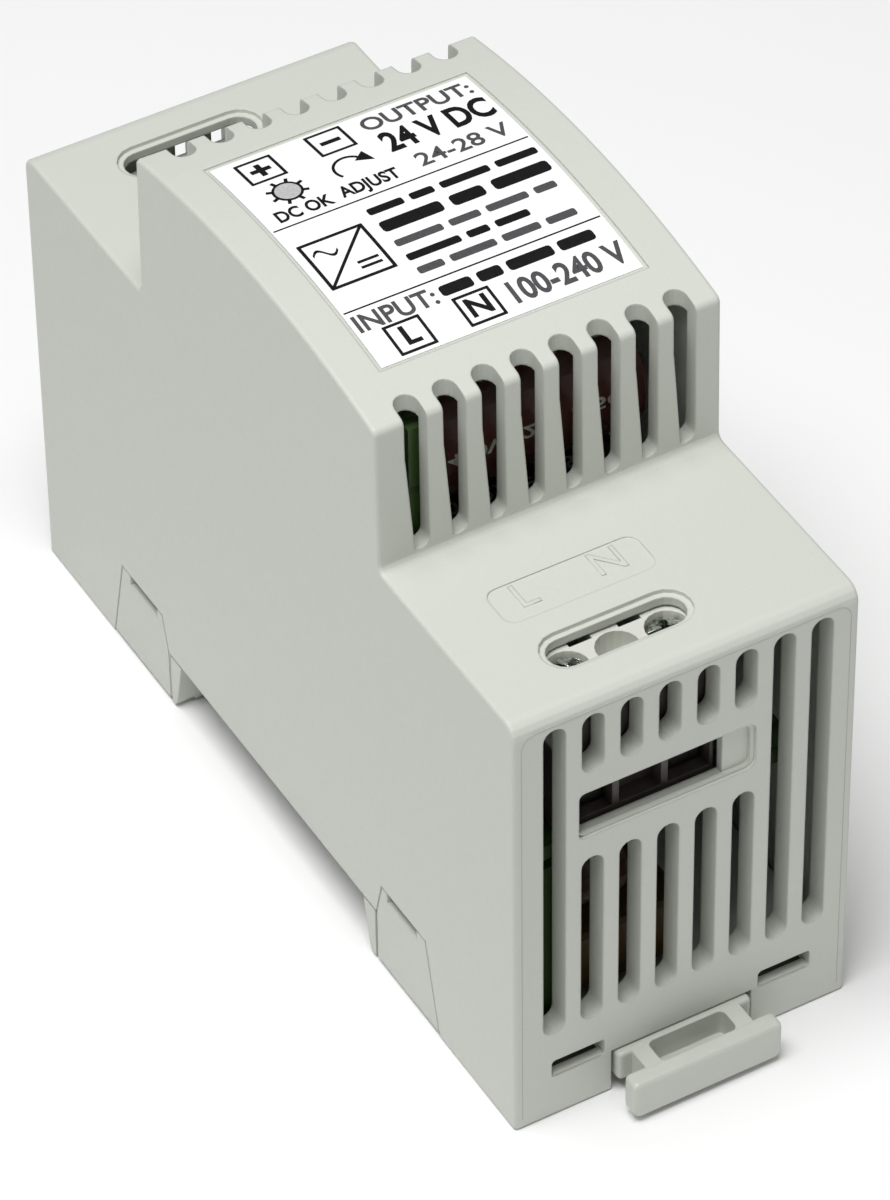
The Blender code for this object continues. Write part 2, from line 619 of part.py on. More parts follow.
def make_foot():
    """The sliding rail foot with its pull tab, guide rails and sprung arms."""
    plate = rounded([(-FOOT_HALF_X, -45.75, 0.5), (FOOT_HALF_X, -45.75, 0.5),
                     (FOOT_HALF_X, -JAW_TOP_Y, 0), (-FOOT_HALF_X, -JAW_TOP_Y, 0)], 3)
    foot = outline_solid("rail_foot", plate, "Z", FOOT_LOW_Z, FOOT_TOP_Z)
    bevel(foot, 0.3)
    nose = [(-JAW_TOP_Y - 0.6, FOOT_LOW_Z), (-JAW_TOP_Y + 0.1, FOOT_LOW_Z), (-FOOT_NOSE_Y, 3.5),
            (-FOOT_NOSE_Y, FOOT_TOP_Z), (-JAW_TOP_Y - 0.6, FOOT_TOP_Z)]
    join(foot, outline_solid("foot_nose", nose, "X", -6.6, 6.6))
    join(foot, box("foot_guides", (-8.25, 8.25), (-37.9, -20), (2.4, 3.5)))
    join(foot, box("foot_web", (-5.7, 5.7), (-48.9, -45.2), (FOOT_LOW_Z - 0.5, FOOT_TOP_Z - 0.02)))
    flange = rounded([(-7.85, 0.4, 0.9), (7.85, 0.4, 0.9), (7.85, FOOT_TOP_Z + 0.03, 0.5),
                      (-7.85, FOOT_TOP_Z + 0.03, 0.5)], 4)
    pull_tab = outline_solid("foot_flange", flange, "Y", -FOOT_REACH_Y, -47.9)
    bevel(pull_tab, 0.4, angle=60)
    join(foot, pull_tab)
    slot = rounded([(-4, -48.25, 0.6), (4, -48.25, 0.6), (4, -45.55, 0.6), (-4, -45.55, 0.6)], 3)
    cut(foot, outline_solid("driver_slot", slot, "Z", DRIVER_FLOOR_Z, FOOT_TOP_Z + 1))
    cut(foot, box("driver_drain", (1.0, 3.2), (-47.6, -46.3), (-1, DRIVER_FLOOR_Z + 1)))
    arms = [outline_solid("arm_window", obround((sign * 3.6, -31), (3.0, 17)), "Z", 0, FOOT_TOP_Z + 1)
            for sign in (-1, 1)]
    cut(foot, together("arm_windows", arms))
    set_origin(foot, (0, -HALF_LENGTH, (FOOT_LOW_Z + FOOT_TOP_Z) / 2))
    return finish(foot, "base_plastic")


# ---------------------------------------------------------------- terminals

def terminal_spec(side):
    """Sizes of the clamp units: the input block has larger poles than the output block."""
    if side < 0:
        return {"head": 1.85, "hole": 2.05, "shank": 1.2, "cage": 1.9, "chamber": 2.2, "bar": 1.1,
                "top": INPUT_TOP_Z, "head_height": 1.7, "wall": 0.6}
    return {"head": 1.4, "hole": 1.6, "shank": 0.75, "cage": 1.35, "chamber": 1.55, "bar": 0.55,
            "top": OUTPUT_TOP_Z, "head_height": 1.35, "wall": 0.45}


def make_terminal_block(name, side, poles, used):
    """A terminal block with screw holes on top and wire entries in its end face."""
    spec = terminal_spec(side)
    half_pitch = abs(poles[1] - poles[0]) / 2
    back_y, front_y = BLOCK_Y
    upper_y = front_y - 0.8
    edge = [(upper_y, spec["top"])]
    if side > 0:
        edge = [(OUTPUT_EDGE_Y, spec["top"]), (upper_y, spec["top"] - OUTPUT_EDGE_DROP)]
    outline = [(back_y, BLOCK_LOW_Z), (back_y, spec["top"]), *edge, (upper_y, 40.2), (front_y, 39.6),
               (front_y, BLOCK_LOW_Z)]
    outline = [(side * y, z) for y, z in outline]
    block = outline_solid(name, outline, "X", poles[0] - half_pitch, poles[-1] + half_pitch)
    blind_floor = spec["top"] - BLIND_HOLE_DEPTH
    holes = []
    for x in poles:
        floor = SCREW_HOLE_FLOOR_Z if x in used else blind_floor
        holes.append(cylinder("hole", spec["hole"], (x, side * SCREW_Y, floor), 6, segments=18))
    cut(block, together(name + "_holes", holes))
    half = spec["chamber"]
    chamber_y = sorted((side * 37.0, side * 41.75))
    chambers = [box("chamber", (x - half, x + half), chamber_y, CHAMBER_Z) for x in used]
    cut(block, together(name + "_chambers", chambers))
    entry_y = sorted((side * 41.3, side * 44))
    entries = [box("entry", (x - half + 0.05, x + half - 0.05), entry_y, ENTRY_Z) for x in poles]
    cut(block, together(name + "_entries", entries))
    slots = [box("slot", (x - spec["bar"] - 0.3, x + spec["bar"] + 0.3), sorted((side * 37.3, side * 35.5)),
                 (30, 40.5)) for x in used]
    cut(block, together(name + "_bar_slots", slots))
    if side < 0:
        windows = [box("window", (x - 1.15, x + 1.15), (-37.0, -33), (44, 50)) for x in (-6.0, -1.0)]
        cut(block, together(name + "_windows", windows))
    return finish(block, "terminal_plastic")


def make_clamp(prefix, side, x):
    """One screw, its rising clamp cage and the fixed contact bar."""
    spec = terminal_spec(side)
    y = side * SCREW_Y
    head, shank = spec["head"], spec["shank"]
    high = spec["top"] - HEAD_SINK
    low = high - spec["head_height"]
    tip = BAR_Z[1] + 0.3
    profile = [(0, high), (head * 0.8, high), (head, high - 0.4), (head, low), (shank, low),
               (shank, tip + 0.5), (shank * 0.6, tip), (0, tip)]
    screw = turned(prefix + "_screw", profile, steps=18)
    set_origin(screw, (0, 0, high))
    screw.location = Vector((x, y, high)) * MM
    cut(screw, box(prefix + "_slot", (x - head - 1, x + head + 1), (y - 0.3 * head, y + 0.3 * head),
                   (high - 0.8, high + 1)))
    cut(screw, box(prefix + "_cross", (x - 0.27 * head, x + 0.27 * head), (y - 0.62 * head, y + 0.62 * head),
                   (high - 1.0, high + 1)))
    finish(screw, "zinc_steel")
    make_cage(prefix, side, x, spec)
    make_contact(prefix, side, x, spec)


def make_cage(prefix, side, x, spec):
    """The clamp cage: a square ring whose top wall carries the thread."""
    half, wall = spec["cage"], spec["wall"]
    outer = [(x - half, CAGE_Z[0]), (x + half, CAGE_Z[0]), (x + half, CAGE_Z[1]), (x - half, CAGE_Z[1])]
    ys = sorted((side * 37.4, side * 41.5))
    cage = outline_solid(prefix + "_clamp", outer, "Y", *ys)
    inner = [(x - half + wall, CAGE_Z[0] + 1.0), (x + half - wall, CAGE_Z[0] + 1.0),
             (x + half - wall, CAGE_Z[1] - 1.1), (x - half + wall, CAGE_Z[1] - 1.1)]
    cut(cage, outline_solid(prefix + "_clamp_opening", inner, "Y", ys[0] - 1, ys[1] + 1))
    thread_start = (x, side * SCREW_Y, CAGE_Z[1] - 1.6)
    cut(cage, cylinder(prefix + "_thread", spec["shank"] + 0.2, thread_start, 3, segments=16))
    set_origin(cage, (x, side * SCREW_Y, CAGE_Z[0]))
    finish(cage, "zinc_steel")


def make_contact(prefix, side, x, spec):
    """The fixed contact bar, bent down to the solder pin."""
    bend = [(side * y, z) for y, z in ((41.0, BAR_Z[0]), (41.0, BAR_Z[1]), (35.8, BAR_Z[1]), (35.8, 28.6),
                                       (36.5, 28.6), (36.5, BAR_Z[0]))]
    contact = outline_solid(prefix + "_contact", bend, "X", x - spec["bar"] * 0.9, x + spec["bar"] * 0.9)
    finish(contact, "tin_plate")


def make_terminals():
    """Both terminal blocks with their clamps."""
    make_terminal_block("input_terminal_block", -1, INPUT_POLES, tuple(INPUT_USED.values()))
    for name, x in INPUT_USED.items():
        make_clamp("input_" + name, -1, x)
    make_terminal_block("output_terminal_block", 1, OUTPUT_POLES, OUTPUT_POLES)
    for name, x in zip(OUTPUT_NAMES, OUTPUT_POLES):
        make_clamp("output_" + name, 1, x)


# ---------------------------------------------------------------- electronics

def make_boards():
    """The upright main board and the two small terminal boards."""
    half = [(BOARD_LONG_Y, BOARD_LOW_Z), (BOARD_LONG_Y, 28.0), (33.9, 28.0), (33.9, 47.6), (19.4, 47.6),
            (19.4, BOARD_TOP_Z)]
    outline = half + [(-y, z) for y, z in reversed(half)]
    finish(outline_solid("main_board", outline, "X", *BOARD_X), "board_green")
    for side, name, poles in ((-1, "input_board", INPUT_USED.values()), (1, "output_board", OUTPUT_POLES)):
        board = box(name, (-14.6, 13.5), sorted((side * 34.4, side * 42.0)), (29.4, 31.0))
        bar = terminal_spec(side)["bar"]
        holes = [box("pin_hole", (x - bar - 0.2, x + bar + 0.2), sorted((side * 35.5, side * 36.8)), (28, 32))
                 for x in poles]
        cut(board, together(name + "_holes", holes))
        finish(board, "board_green")


def make_transformer():
    """Switching transformer: ferrite core, bobbin and taped winding."""
    core = box("transformer_core", (-3.2, 6.8), (-4.0, 16.0), (27.0, 49.0))
    cut(core, box("core_windows", (-4, 8), (0.2, 11.8), (31.2, 44.8)))
    bevel(core, 0.4, segments=1)
    finish(core, "ferrite")
    winding = rounded([(0.9, -7.0, 1.6), (11.1, -7.0, 1.6), (11.1, 10.6, 1.6), (0.9, 10.6, 1.6)], 3)
    winding = [(x, y) for y, x in winding]
    finish(outline_solid("transformer_winding", winding, "Z", 33.2, 42.8), "winding_tape")
    bobbin = box("transformer_bobbin", (-10.6, -8.2), (-3.4, 15.4), (29.0, 47.0))
    cut(bobbin, box("bobbin_recess", (-9.4, -7), (1.5, 10.5), (28, 48)))
    bevel(bobbin, 0.3, segments=1)
    finish(bobbin, "black_plastic")


def make_capacitor(name, radius, start, length, material="sleeve_brown"):
    """An electrolytic capacitor lying along +X with a rolled groove near its base."""
    groove = radius - 0.35
    profile = [(0, length), (radius - 0.4, length), (radius, length - 0.4), (radius, 2.6), (groove, 2.2),
               (groove, 1.8), (radius, 1.4), (radius, 0.3), (radius - 0.3, 0), (0, 0)]
    finish(turned(name, profile, start, "X", steps=24), material)


def disc_profile(radius, height):
    """Half outline of a dipped disc with sloped edges."""
    rim = radius - 0.55
    return [(0, height), (rim, height), (radius, height - 0.65), (radius, 0.65), (rim, 0), (0, 0)]


def make_wound_ring(name, centre, major, minor, material):
    """A ring core seen with its winding, lying flat against the board."""
    shape = bmesh.new()
    bmesh.ops.create_circle(shape, segments=10, radius=minor, matrix=Matrix.Translation((major, 0, 0))
                            @ Matrix.Rotation(math.pi / 2, 4, "X"))
    geometry = shape.verts[:] + shape.edges[:]
    bmesh.ops.spin(shape, geom=geometry, cent=(0, 0, 0), axis=(0, 0, 1), angle=2 * math.pi, steps=24)
    bmesh.ops.remove_doubles(shape, verts=shape.verts, dist=1e-4)
    shape.transform(Matrix.Translation(centre) @ Matrix.Rotation(math.pi / 2, 4, "Y"))
    finish(object_from_bmesh(name, shape), material)


def make_power_device(name, y_low, x_low, z_low):
    """A plastic power package with its body facing the heatsink."""
    body = box(name, (x_low, x_low + 9.2), (y_low, y_low + 4.3), (z_low, z_low + 10.0))
    legs = [box("leg", (x_low - 4.4, x_low + 0.4), (y_low + 1.8, y_low + 2.5), (z_low + 1.8 + 2.54 * i,
                                                                                 z_low + 2.7 + 2.54 * i))
            for i in range(3)]
    join(body, together(name + "_legs", legs))
    finish(body, "black_plastic")


def make_heatsink(name, y_low, zs, side):
    """An aluminium plate bent at its far edge."""
    outline = [(FACE_X, y_low), (12.6, y_low), (12.6, y_low + side * 4.5), (11.1, y_low + side * 4.5),
               (11.1, y_low + side * 1.5), (FACE_X, y_low + side * 1.5)]
    finish(outline_solid(name, outline, "Z", *zs), "heatsink_aluminium")


def make_components():
    """The parts that stand on the main board."""
    fuse = [(0, 7.6), (3.7, 7.6), (4.1, 7.2), (4.1, 0), (0, 0)]
    finish(turned("input_fuse", fuse, (FACE_X, -37.3, 22.6), "X"), "fuse_brown")
    film = box("line_capacitor", (FACE_X, 2.6), (-41.2, -28.4), (9.6, 16.6))
    bevel(film, 0.4, segments=1)
    finish(film, "film_box")
    finish(turned("varistor", disc_profile(5.0, 4.0), (-5.6, -27.6, 21.6)), "disc_blue")
    make_wound_ring("line_choke", (FACE_X + 3.1, -26.3, 38.6), 4.8, 2.6, "copper_wire")
    bridge = box("bridge_rectifier", (FACE_X, -7.4), (-20.6, -14.2), (20.4, 28.6))
    bevel(bridge, 0.4, segments=1)
    finish(bridge, "black_plastic")
    make_capacitor("bulk_capacitor_1", 6.2, (FACE_X, -12.6, 55.0), 23.0)
    make_capacitor("bulk_capacitor_2", 6.2, (FACE_X, -11.4, 39.4), 23.0)
    make_heatsink("primary_heatsink", -6.6, (9.6, 24.5), 1)
    make_power_device("switch_transistor", -11.3, -5.8, 10.8)
    coupler = box("optocoupler", (FACE_X, -7.4), (14.0, 20.4), (12.0, 16.6))
    bevel(coupler, 0.3, segments=1)
    finish(coupler, "black_plastic")
    finish(turned("safety_capacitor", disc_profile(4.1, 3.4), (-6.6, 2.0, 20.4)), "disc_blue")
    make_heatsink("secondary_heatsink", 24.6, (9.6, 24.0), -1)
    make_power_device("output_rectifier", 25.0, -5.8, 11.6)
    make_capacitor("output_capacitor_1", 4.9, (FACE_X, 36.2, 15.0), 19.0, "black_plastic")
    make_capacitor("output_capacitor_2", 4.9, (FACE_X, 26.8, 41.6), 19.0, "black_plastic")
    make_wound_ring("output_inductor", (FACE_X + 2.7, 23.6, 30.4), 3.4, 2.2, "copper_wire")
    finish(box("controller_chip", (-14.9, -13.2), (-4.0, 1.0), (30.0, 34.0)), "black_plastic")
    finish(box("sense_resistor", (-14.2, -13.2), (6.0, 9.2), (30.0, 31.6)), "black_plastic")


def make_adjuster():
    """The output voltage trimmer, reached through a vent of the output side."""
    half = 3.3
    body = box("trimmer_body", (TRIMMER_X - half, TRIMMER_X + half), (14.0, 18.2),
               (TRIMMER_Z - half, TRIMMER_Z + half))
    cut(body, cylinder("trimmer_seat", 1.9, (TRIMMER_X, 17.4, TRIMMER_Z), 2, "Y", segments=18))
    finish(body, "trimmer_blue")
    rotor = cylinder("trimmer_rotor", 1.6, (TRIMMER_X, 17.7, TRIMMER_Z), 1.4, "Y", segments=18)
    cut(rotor, box("rotor_slot", (TRIMMER_X - 2, TRIMMER_X + 2), (18.4, 20),
                   (TRIMMER_Z - 0.3, TRIMMER_Z + 0.3)))
    set_origin(rotor, (TRIMMER_X, 17.7, TRIMMER_Z))
    finish(rotor, "brass_plate")


def make_status_light():
    """The status diode, its holder and the light guide under the label."""
    half = 1.9
    holder = box("led_holder", (FACE_X, LIGHT_X + half), (LIGHT_Y - half, LIGHT_Y + half), (55.5, 57.5))
    finish(holder, "black_plastic")
    dome = [(0, 4.8), (0.8, 4.6), (1.4, 3.9), (1.5, 3.2), (1.5, 0.9), (1.85, 0.9), (1.85, 0), (0, 0)]
    finish(turned("status_led", dome, (LIGHT_X, LIGHT_Y, 57.8), steps=16), "led_green")
    top_z = crown_z(LIGHT_Y, LABEL_RECESS)
    guide = cylinder("light_guide", 1.3, (LIGHT_X, LIGHT_Y, 62.9), top_z - 0.15 - 62.9, segments=16)
    finish(guide, "lens_clear")


def place_on_rail_seat():
    """Carry all parts and cutters by one empty, so that the rail seat is the plane z = 0."""
    seat = bpy.data.objects.new("rail_seat", None)
    bpy.context.scene.collection.objects.link(seat)
    seat.location = (0, 0, -SEAT_Z * MM)
    for item in list(PARTS.objects) + list(CUTTERS.objects):
        item.parent = seat


make_cover()
make_label()
make_base()
make_foot()
make_terminals()
make_boards()
make_transformer()
make_components()
make_adjuster()
make_status_light()
place_on_rail_seat()
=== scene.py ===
"""Looks of the DIN rail power supply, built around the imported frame.

Lengths are in millimetres in the row frame unless a comment says otherwise: the origin is the
middle of the rail seat, +Z points out of the labelled front, +X runs across the module and +Y runs
towards the output terminals.
"""

import json
import math

import bmesh
import bpy
from mathutils import Matrix, Vector


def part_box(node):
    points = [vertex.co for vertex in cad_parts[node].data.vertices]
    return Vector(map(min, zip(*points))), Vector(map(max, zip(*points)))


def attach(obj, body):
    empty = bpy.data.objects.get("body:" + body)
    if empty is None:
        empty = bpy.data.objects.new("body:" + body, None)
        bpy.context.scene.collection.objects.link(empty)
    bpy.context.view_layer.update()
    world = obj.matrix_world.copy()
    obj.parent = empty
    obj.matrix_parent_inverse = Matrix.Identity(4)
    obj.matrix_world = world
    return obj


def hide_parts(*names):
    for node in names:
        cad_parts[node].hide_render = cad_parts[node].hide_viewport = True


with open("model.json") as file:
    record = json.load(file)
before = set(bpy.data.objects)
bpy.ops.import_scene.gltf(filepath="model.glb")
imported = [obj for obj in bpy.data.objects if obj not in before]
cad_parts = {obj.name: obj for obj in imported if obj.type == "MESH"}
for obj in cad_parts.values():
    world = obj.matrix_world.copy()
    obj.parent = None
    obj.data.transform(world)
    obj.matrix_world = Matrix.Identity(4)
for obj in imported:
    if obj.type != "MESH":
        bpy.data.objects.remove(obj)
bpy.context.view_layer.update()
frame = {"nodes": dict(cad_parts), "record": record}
NODES = frame["nodes"]
MM = 0.001


def span(node, axis):
    """Low and high limit of a CAD node along one axis."""
    low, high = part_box(node)
    return low[axis] / MM, high[axis] / MM


def middle(node):
    """Centre of a CAD node's box."""
    low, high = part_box(node)
    return (low + high) / 2 / MM


HALF_X = span("cover", 0)[1]
HALF_Y = span("cover", 1)[1]
FLOOR_Z = span("cover", 2)[0]


def up(height):
    """Row height of a height measured from the housing's rail side."""
    return FLOOR_Z + height


SHOULDER_Z = up(50.0)
RAISED_Y = 21.9
BLOCK_FACE_Y = 42.0
WINDOW_X = (-10.9, 7.2)
WINDOW_Z = (up(33.5), up(39.0))
WINDOW_DEPTH = 0.7
LATCH_X = (8.1, 13.65)
LATCH_Z = (up(4.8), up(6.9))
LATCH_BACK_Y = (42.27, 42.37)
LATCH_FLOOR_Y = 42.5
CROWN_RADIUS = 102.6
LABEL_X = span("label", 0)
LABEL_Y = span("label", 1)
LABEL_TOP_Z = span("label", 2)[1]
LABEL_SUNK = 0.12
LABEL_RADIUS = CROWN_RADIUS - LABEL_SUNK
INK_LAYER = (-0.015, 0.015)
INK_LIFT = 0.012
STRIP_WIDTH = 0.52
SUN = Vector((-9.0, 8.65))
SWEEP = (-2.5, 8.7)


# ---------------------------------------------------------------- materials

class Paint:
    """A node material under construction."""

    def __init__(self, name, color, roughness, metallic=0.0, specular=0.5):
        self.material = bpy.data.materials.new(name)
        self.material.use_nodes = True
        self.tree = self.material.node_tree
        self.shader = self.tree.nodes["Principled BSDF"]
        self.set("Base Color", (*color, 1))
        self.set("Roughness", roughness)
        self.set("Metallic", metallic)
        self.set("Specular IOR Level", specular)
        self.color = color
        self.roughness = roughness
        self.normal = None
        self.position = self.node("ShaderNodeTexCoord").outputs["Object"]

    def set(self, socket, value):
        self.shader.inputs[socket].default_value = value

    def node(self, kind, inputs=None, **settings):
        item = self.tree.nodes.new(kind)
        for key, value in settings.items():
            setattr(item, key, value)
        for key, value in (inputs or {}).items():
            item.inputs[key].default_value = value
        return item

    def link(self, source, target):
        self.tree.links.new(source, target)

    def placed(self, scale):
        """Object position stretched by a scale."""
        item = self.node("ShaderNodeMapping", {"Scale": scale})
        self.link(self.position, item.inputs["Vector"])
        return item.outputs["Vector"]

    def noise(self, scale, detail=3.0, stretch=None):
        """Noise with its scale in features per metre."""
        item = self.node("ShaderNodeTexNoise", {"Scale": scale, "Detail": detail})
        self.link(self.placed(stretch) if stretch else self.position, item.inputs["Vector"])
        return item.outputs["Fac"]

    def ramp(self, source, stops):
        """Colour ramp over a factor, with stops of (place, colour)."""
        item = self.node("ShaderNodeValToRGB")
        elements = item.color_ramp.elements
        while len(elements) < len(stops):
            elements.new(0.5)
        for element, (place, color) in zip(elements, stops):
            element.position = place
            element.color = (*color, 1)
        self.link(source, item.inputs["Fac"])
        return item.outputs["Color"]

    def mix(self, factor, first, second):
        """Blend two colours, each a socket or a colour, by a factor."""
        item = self.node("ShaderNodeMix", data_type="RGBA")
        self.link(factor, item.inputs[0])
        for socket, value in ((item.inputs[6], first), (item.inputs[7], second)):
            if isinstance(value, tuple):
                socket.default_value = (*value, 1)
            else:
                self.link(value, socket)
        return item.outputs[2]

    def between(self, source, low, high, to_low=0.0, to_high=1.0):
        """Map a value from one range to another."""
        item = self.node("ShaderNodeMapRange", {"From Min": low, "From Max": high, "To Min": to_low,
                                                "To Max": to_high})
        self.link(source, item.inputs["Value"])
        return item.outputs["Result"]

    def coordinate(self, axis):
        """One coordinate of the position, in metres."""
        item = self.node("ShaderNodeSeparateXYZ")
        self.link(self.position, item.inputs["Vector"])
        return item.outputs[axis]

    def tint(self, source, amount):
        """The base colour, a little darker or lighter by a factor."""
        dark = tuple(c * (1 - amount) for c in self.color)
        light = tuple(min(c * (1 + amount), 1) for c in self.color)
        return self.ramp(source, ((0.3, dark), (0.7, light)))

    def paint_color(self, socket):
        self.link(socket, self.shader.inputs["Base Color"])

    def vary_roughness(self, source, amount):
        """Vary the roughness around its value by a factor."""
        rough = self.between(source, 0.3, 0.7, self.roughness - amount, self.roughness + amount)
        self.link(rough, self.shader.inputs["Roughness"])

    def soft_edges(self, radius):
        """Round sharp edges by a radius in the shading."""
        item = self.node("ShaderNodeBevel", {"Radius": radius * MM}, samples=6)
        self.normal = item.outputs["Normal"]
        self.link(self.normal, self.shader.inputs["Normal"])

    def bump(self, source, depth):
        """Bump of a depth in millimetres from a factor, over the bumps made before."""
        item = self.node("ShaderNodeBump", {"Strength": 1.0, "Distance": depth * MM})
        self.link(source, item.inputs["Height"])
        if self.normal is not None:
            self.link(self.normal, item.inputs["Normal"])
        self.normal = item.outputs["Normal"]
        self.link(self.normal, self.shader.inputs["Normal"])


def moulded(name, color, roughness=0.5, grain=0.014, edge=0.28, specular=0.45):
    """Moulded plastic: fine spark-eroded grain, faint tone changes and softened edges."""
    paint = Paint(name, color, roughness, specular=specular)
    if edge:
        paint.soft_edges(edge)
    paint.paint_color(paint.tint(paint.noise(4500, 3), 0.014))
    paint.vary_roughness(paint.noise(1300, 2), 0.05)
    paint.bump(paint.noise(240, 2), 0.005)
    paint.bump(paint.noise(5000, 3), grain)
    return paint.material


def metal(name, color, roughness, stretch=(1, 1, 1), edge=0.12, stain=0.10):
    """Plated or plain metal with fine streaks and dull spots."""
    paint = Paint(name, color, roughness, 1.0)
    if edge:
        paint.soft_edges(edge)
    streaks = paint.noise(2400, 3, stretch)
    paint.paint_color(paint.tint(paint.noise(600, 3), stain))
    paint.vary_roughness(streaks, 0.08)
    paint.bump(streaks, 0.008)
    return paint.material


def screw_steel(name, top):
    """Zinc-plated screw with painted glints on its head and painted shade down in its recess."""
    paint = Paint(name, (0.85, 0.87, 0.83), 0.16, 1.0)
    paint.soft_edges(0.05)
    # Painted glints: bright and dark patches that stand for reflections on the head.
    painted_glints = paint.ramp(paint.noise(1900, 3), ((0.42, (0.30, 0.32, 0.30)), (0.54, (0.90, 0.93, 0.89))))
    # Painted shade: darker from 0.7 mm below the head's top downwards, in the recess and below.
    depth = paint.between(paint.coordinate("Z"), (top - 1.1) * MM, (top - 0.7) * MM)
    paint.paint_color(paint.mix(depth, (0.20, 0.20, 0.185), painted_glints))
    paint.vary_roughness(paint.noise(2400, 3), 0.06)
    paint.bump(paint.noise(900, 2), 0.03)
    return paint.material


def glossy(name, color, roughness, speckle=0.1, coat=0.0):
    """Dipped, taped or sleeved surface with slight waviness and a clear sheen."""
    paint = Paint(name, color, roughness)
    paint.set("Coat Weight", coat)
    paint.set("Coat Roughness", 0.15)
    paint.paint_color(paint.tint(paint.noise(900, 3), speckle))
    paint.vary_roughness(paint.noise(500, 2), 0.06)
    paint.bump(paint.noise(350, 2), 0.03)
    return paint.material


def block_plastic_with_painted_shade(name, pale_from):
    """Terminal block: pale above a height, with painted shade in dark brown-grey on its front and lower
    part.
    """
    paint = Paint(name, (0.63, 0.64, 0.585), 0.42)
    paint.soft_edges(0.12)
    # Painted shade: dark brown-grey that stands for the shade inside the housing.
    dark = paint.ramp(paint.noise(500, 2), ((0.3, (0.060, 0.050, 0.044)), (0.7, (0.085, 0.071, 0.062))))
    split = up(pale_from) * MM
    above = paint.between(paint.coordinate("Z"), split - 0.0003, split + 0.0003)
    reach = paint.node("ShaderNodeMath", operation="ABSOLUTE")
    paint.link(paint.coordinate("Y"), reach.inputs[0])
    behind = paint.between(reach.outputs[0], BLOCK_FACE_Y * MM - 0.00005, BLOCK_FACE_Y * MM, 1.0, 0.0)
    both = paint.node("ShaderNodeMath", operation="MULTIPLY")
    paint.link(above, both.inputs[0])
    paint.link(behind, both.inputs[1])
    paint.paint_color(paint.mix(both.outputs[0], dark, paint.tint(paint.noise(90, 2), 0.02)))
    paint.bump(paint.noise(4000, 2), 0.006)
    return paint.material


def circuit_board(name):
    """Green solder mask over traces, with a woven glass texture and tinned pads."""
    paint = Paint(name, (0.030, 0.062, 0.014), 0.35)
    paint.set("Coat Weight", 0.3)
    paint.set("Coat Roughness", 0.2)
    lanes = paint.node("ShaderNodeTexBrick", {"Scale": 210.0, "Mortar Size": 0.09, "Mortar Smooth": 0.1,
                                              "Brick Width": 2.3, "Row Height": 0.55})
    turn = paint.node("ShaderNodeMapping", {"Rotation": (0, math.pi / 2, 0)})
    paint.link(paint.position, turn.inputs["Vector"])
    paint.link(turn.outputs["Vector"], lanes.inputs["Vector"])
    mask = paint.mix(lanes.outputs["Fac"], (0.038, 0.080, 0.018), (0.024, 0.050, 0.012))
    pads = paint.node("ShaderNodeTexVoronoi", {"Scale": 240.0, "Randomness": 0.6})
    paint.link(paint.position, pads.inputs["Vector"])
    pad = paint.between(pads.outputs["Distance"], 0.09, 0.11, 1.0, 0.0)
    paint.paint_color(paint.mix(pad, mask, (0.22, 0.22, 0.20)))
    paint.bump(lanes.outputs["Fac"], 0.035)
    paint.bump(paint.noise(2600, 2), 0.01)
    return paint.material


def label_film(name):
    """White printed film with a faint orange-peel sheen."""
    paint = Paint(name, (0.955, 0.96, 0.955), 0.38, specular=0.5)
    paint.paint_color(paint.tint(paint.noise(120, 2), 0.008))
    paint.vary_roughness(paint.noise(800, 2), 0.05)
    paint.bump(paint.noise(700, 2), 0.004)
    return paint.material


def ink(name, color):
    """Printing ink with a slightly uneven density."""
    paint = Paint(name, color, 0.5, specular=0.25)
    paint.paint_color(paint.tint(paint.noise(3000, 3), 0.12))
    paint.vary_roughness(paint.noise(2000, 2), 0.08)
    return paint.material


def wound_tape(name):
    """Amber polyester tape with overlapping layers over a coil."""
    paint = Paint(name, (0.16, 0.085, 0.014), 0.25)
    paint.set("Coat Weight", 0.5)
    layers = paint.noise(300, 2, (0.3, 0.3, 6.0))
    paint.paint_color(paint.tint(layers, 0.25))
    paint.bump(layers, 0.06)
    return paint.material


SHELL_COLOR = (0.60, 0.62, 0.565)
STEEL = metal("zinc_plated_steel", (0.80, 0.82, 0.79), 0.17, edge=0.06, stain=0.2)
# Clamp steel painted near-black: painted shade for the clamps seen inside the wire windows.
CLAMP_STEEL_PAINTED_SHADE = metal("clamp_steel_painted_shade", (0.13, 0.12, 0.11), 0.45, stain=0.2)
FOOT_PLASTIC = moulded("foot_plastic", tuple(c * 0.98 for c in SHELL_COLOR), 0.38, 0.002, 0.2, 0.5)
SEAM = moulded("seam_plastic", tuple(c * 0.72 for c in SHELL_COLOR), 0.5, 0.004, 0)
# Near-black plastic for plates set where the latch windows and release slits would only hold shade: painted
# shade.
PAINTED_SHADE = moulded("painted_shade_plastic", (0.045, 0.040, 0.034), 0.6, 0.01, 0)
TIN = metal("tinned_plate", (0.66, 0.66, 0.63), 0.30, (1, 1, 4))
COPPER = metal("enamelled_copper", (0.26, 0.075, 0.03), 0.32, edge=0)
BLACK_PLASTIC = moulded("black_package", (0.018, 0.018, 0.019), 0.42, 0.01, 0.15)
INK_BLACK = ink("ink_black", (0.004, 0.004, 0.0045))
INK_GREY = ink("ink_grey", (0.075, 0.075, 0.08))
INK_PALE = ink("ink_pale", (0.48, 0.48, 0.49))
SLEEVE_INK = ink("sleeve_ink", (0.30, 0.30, 0.28))

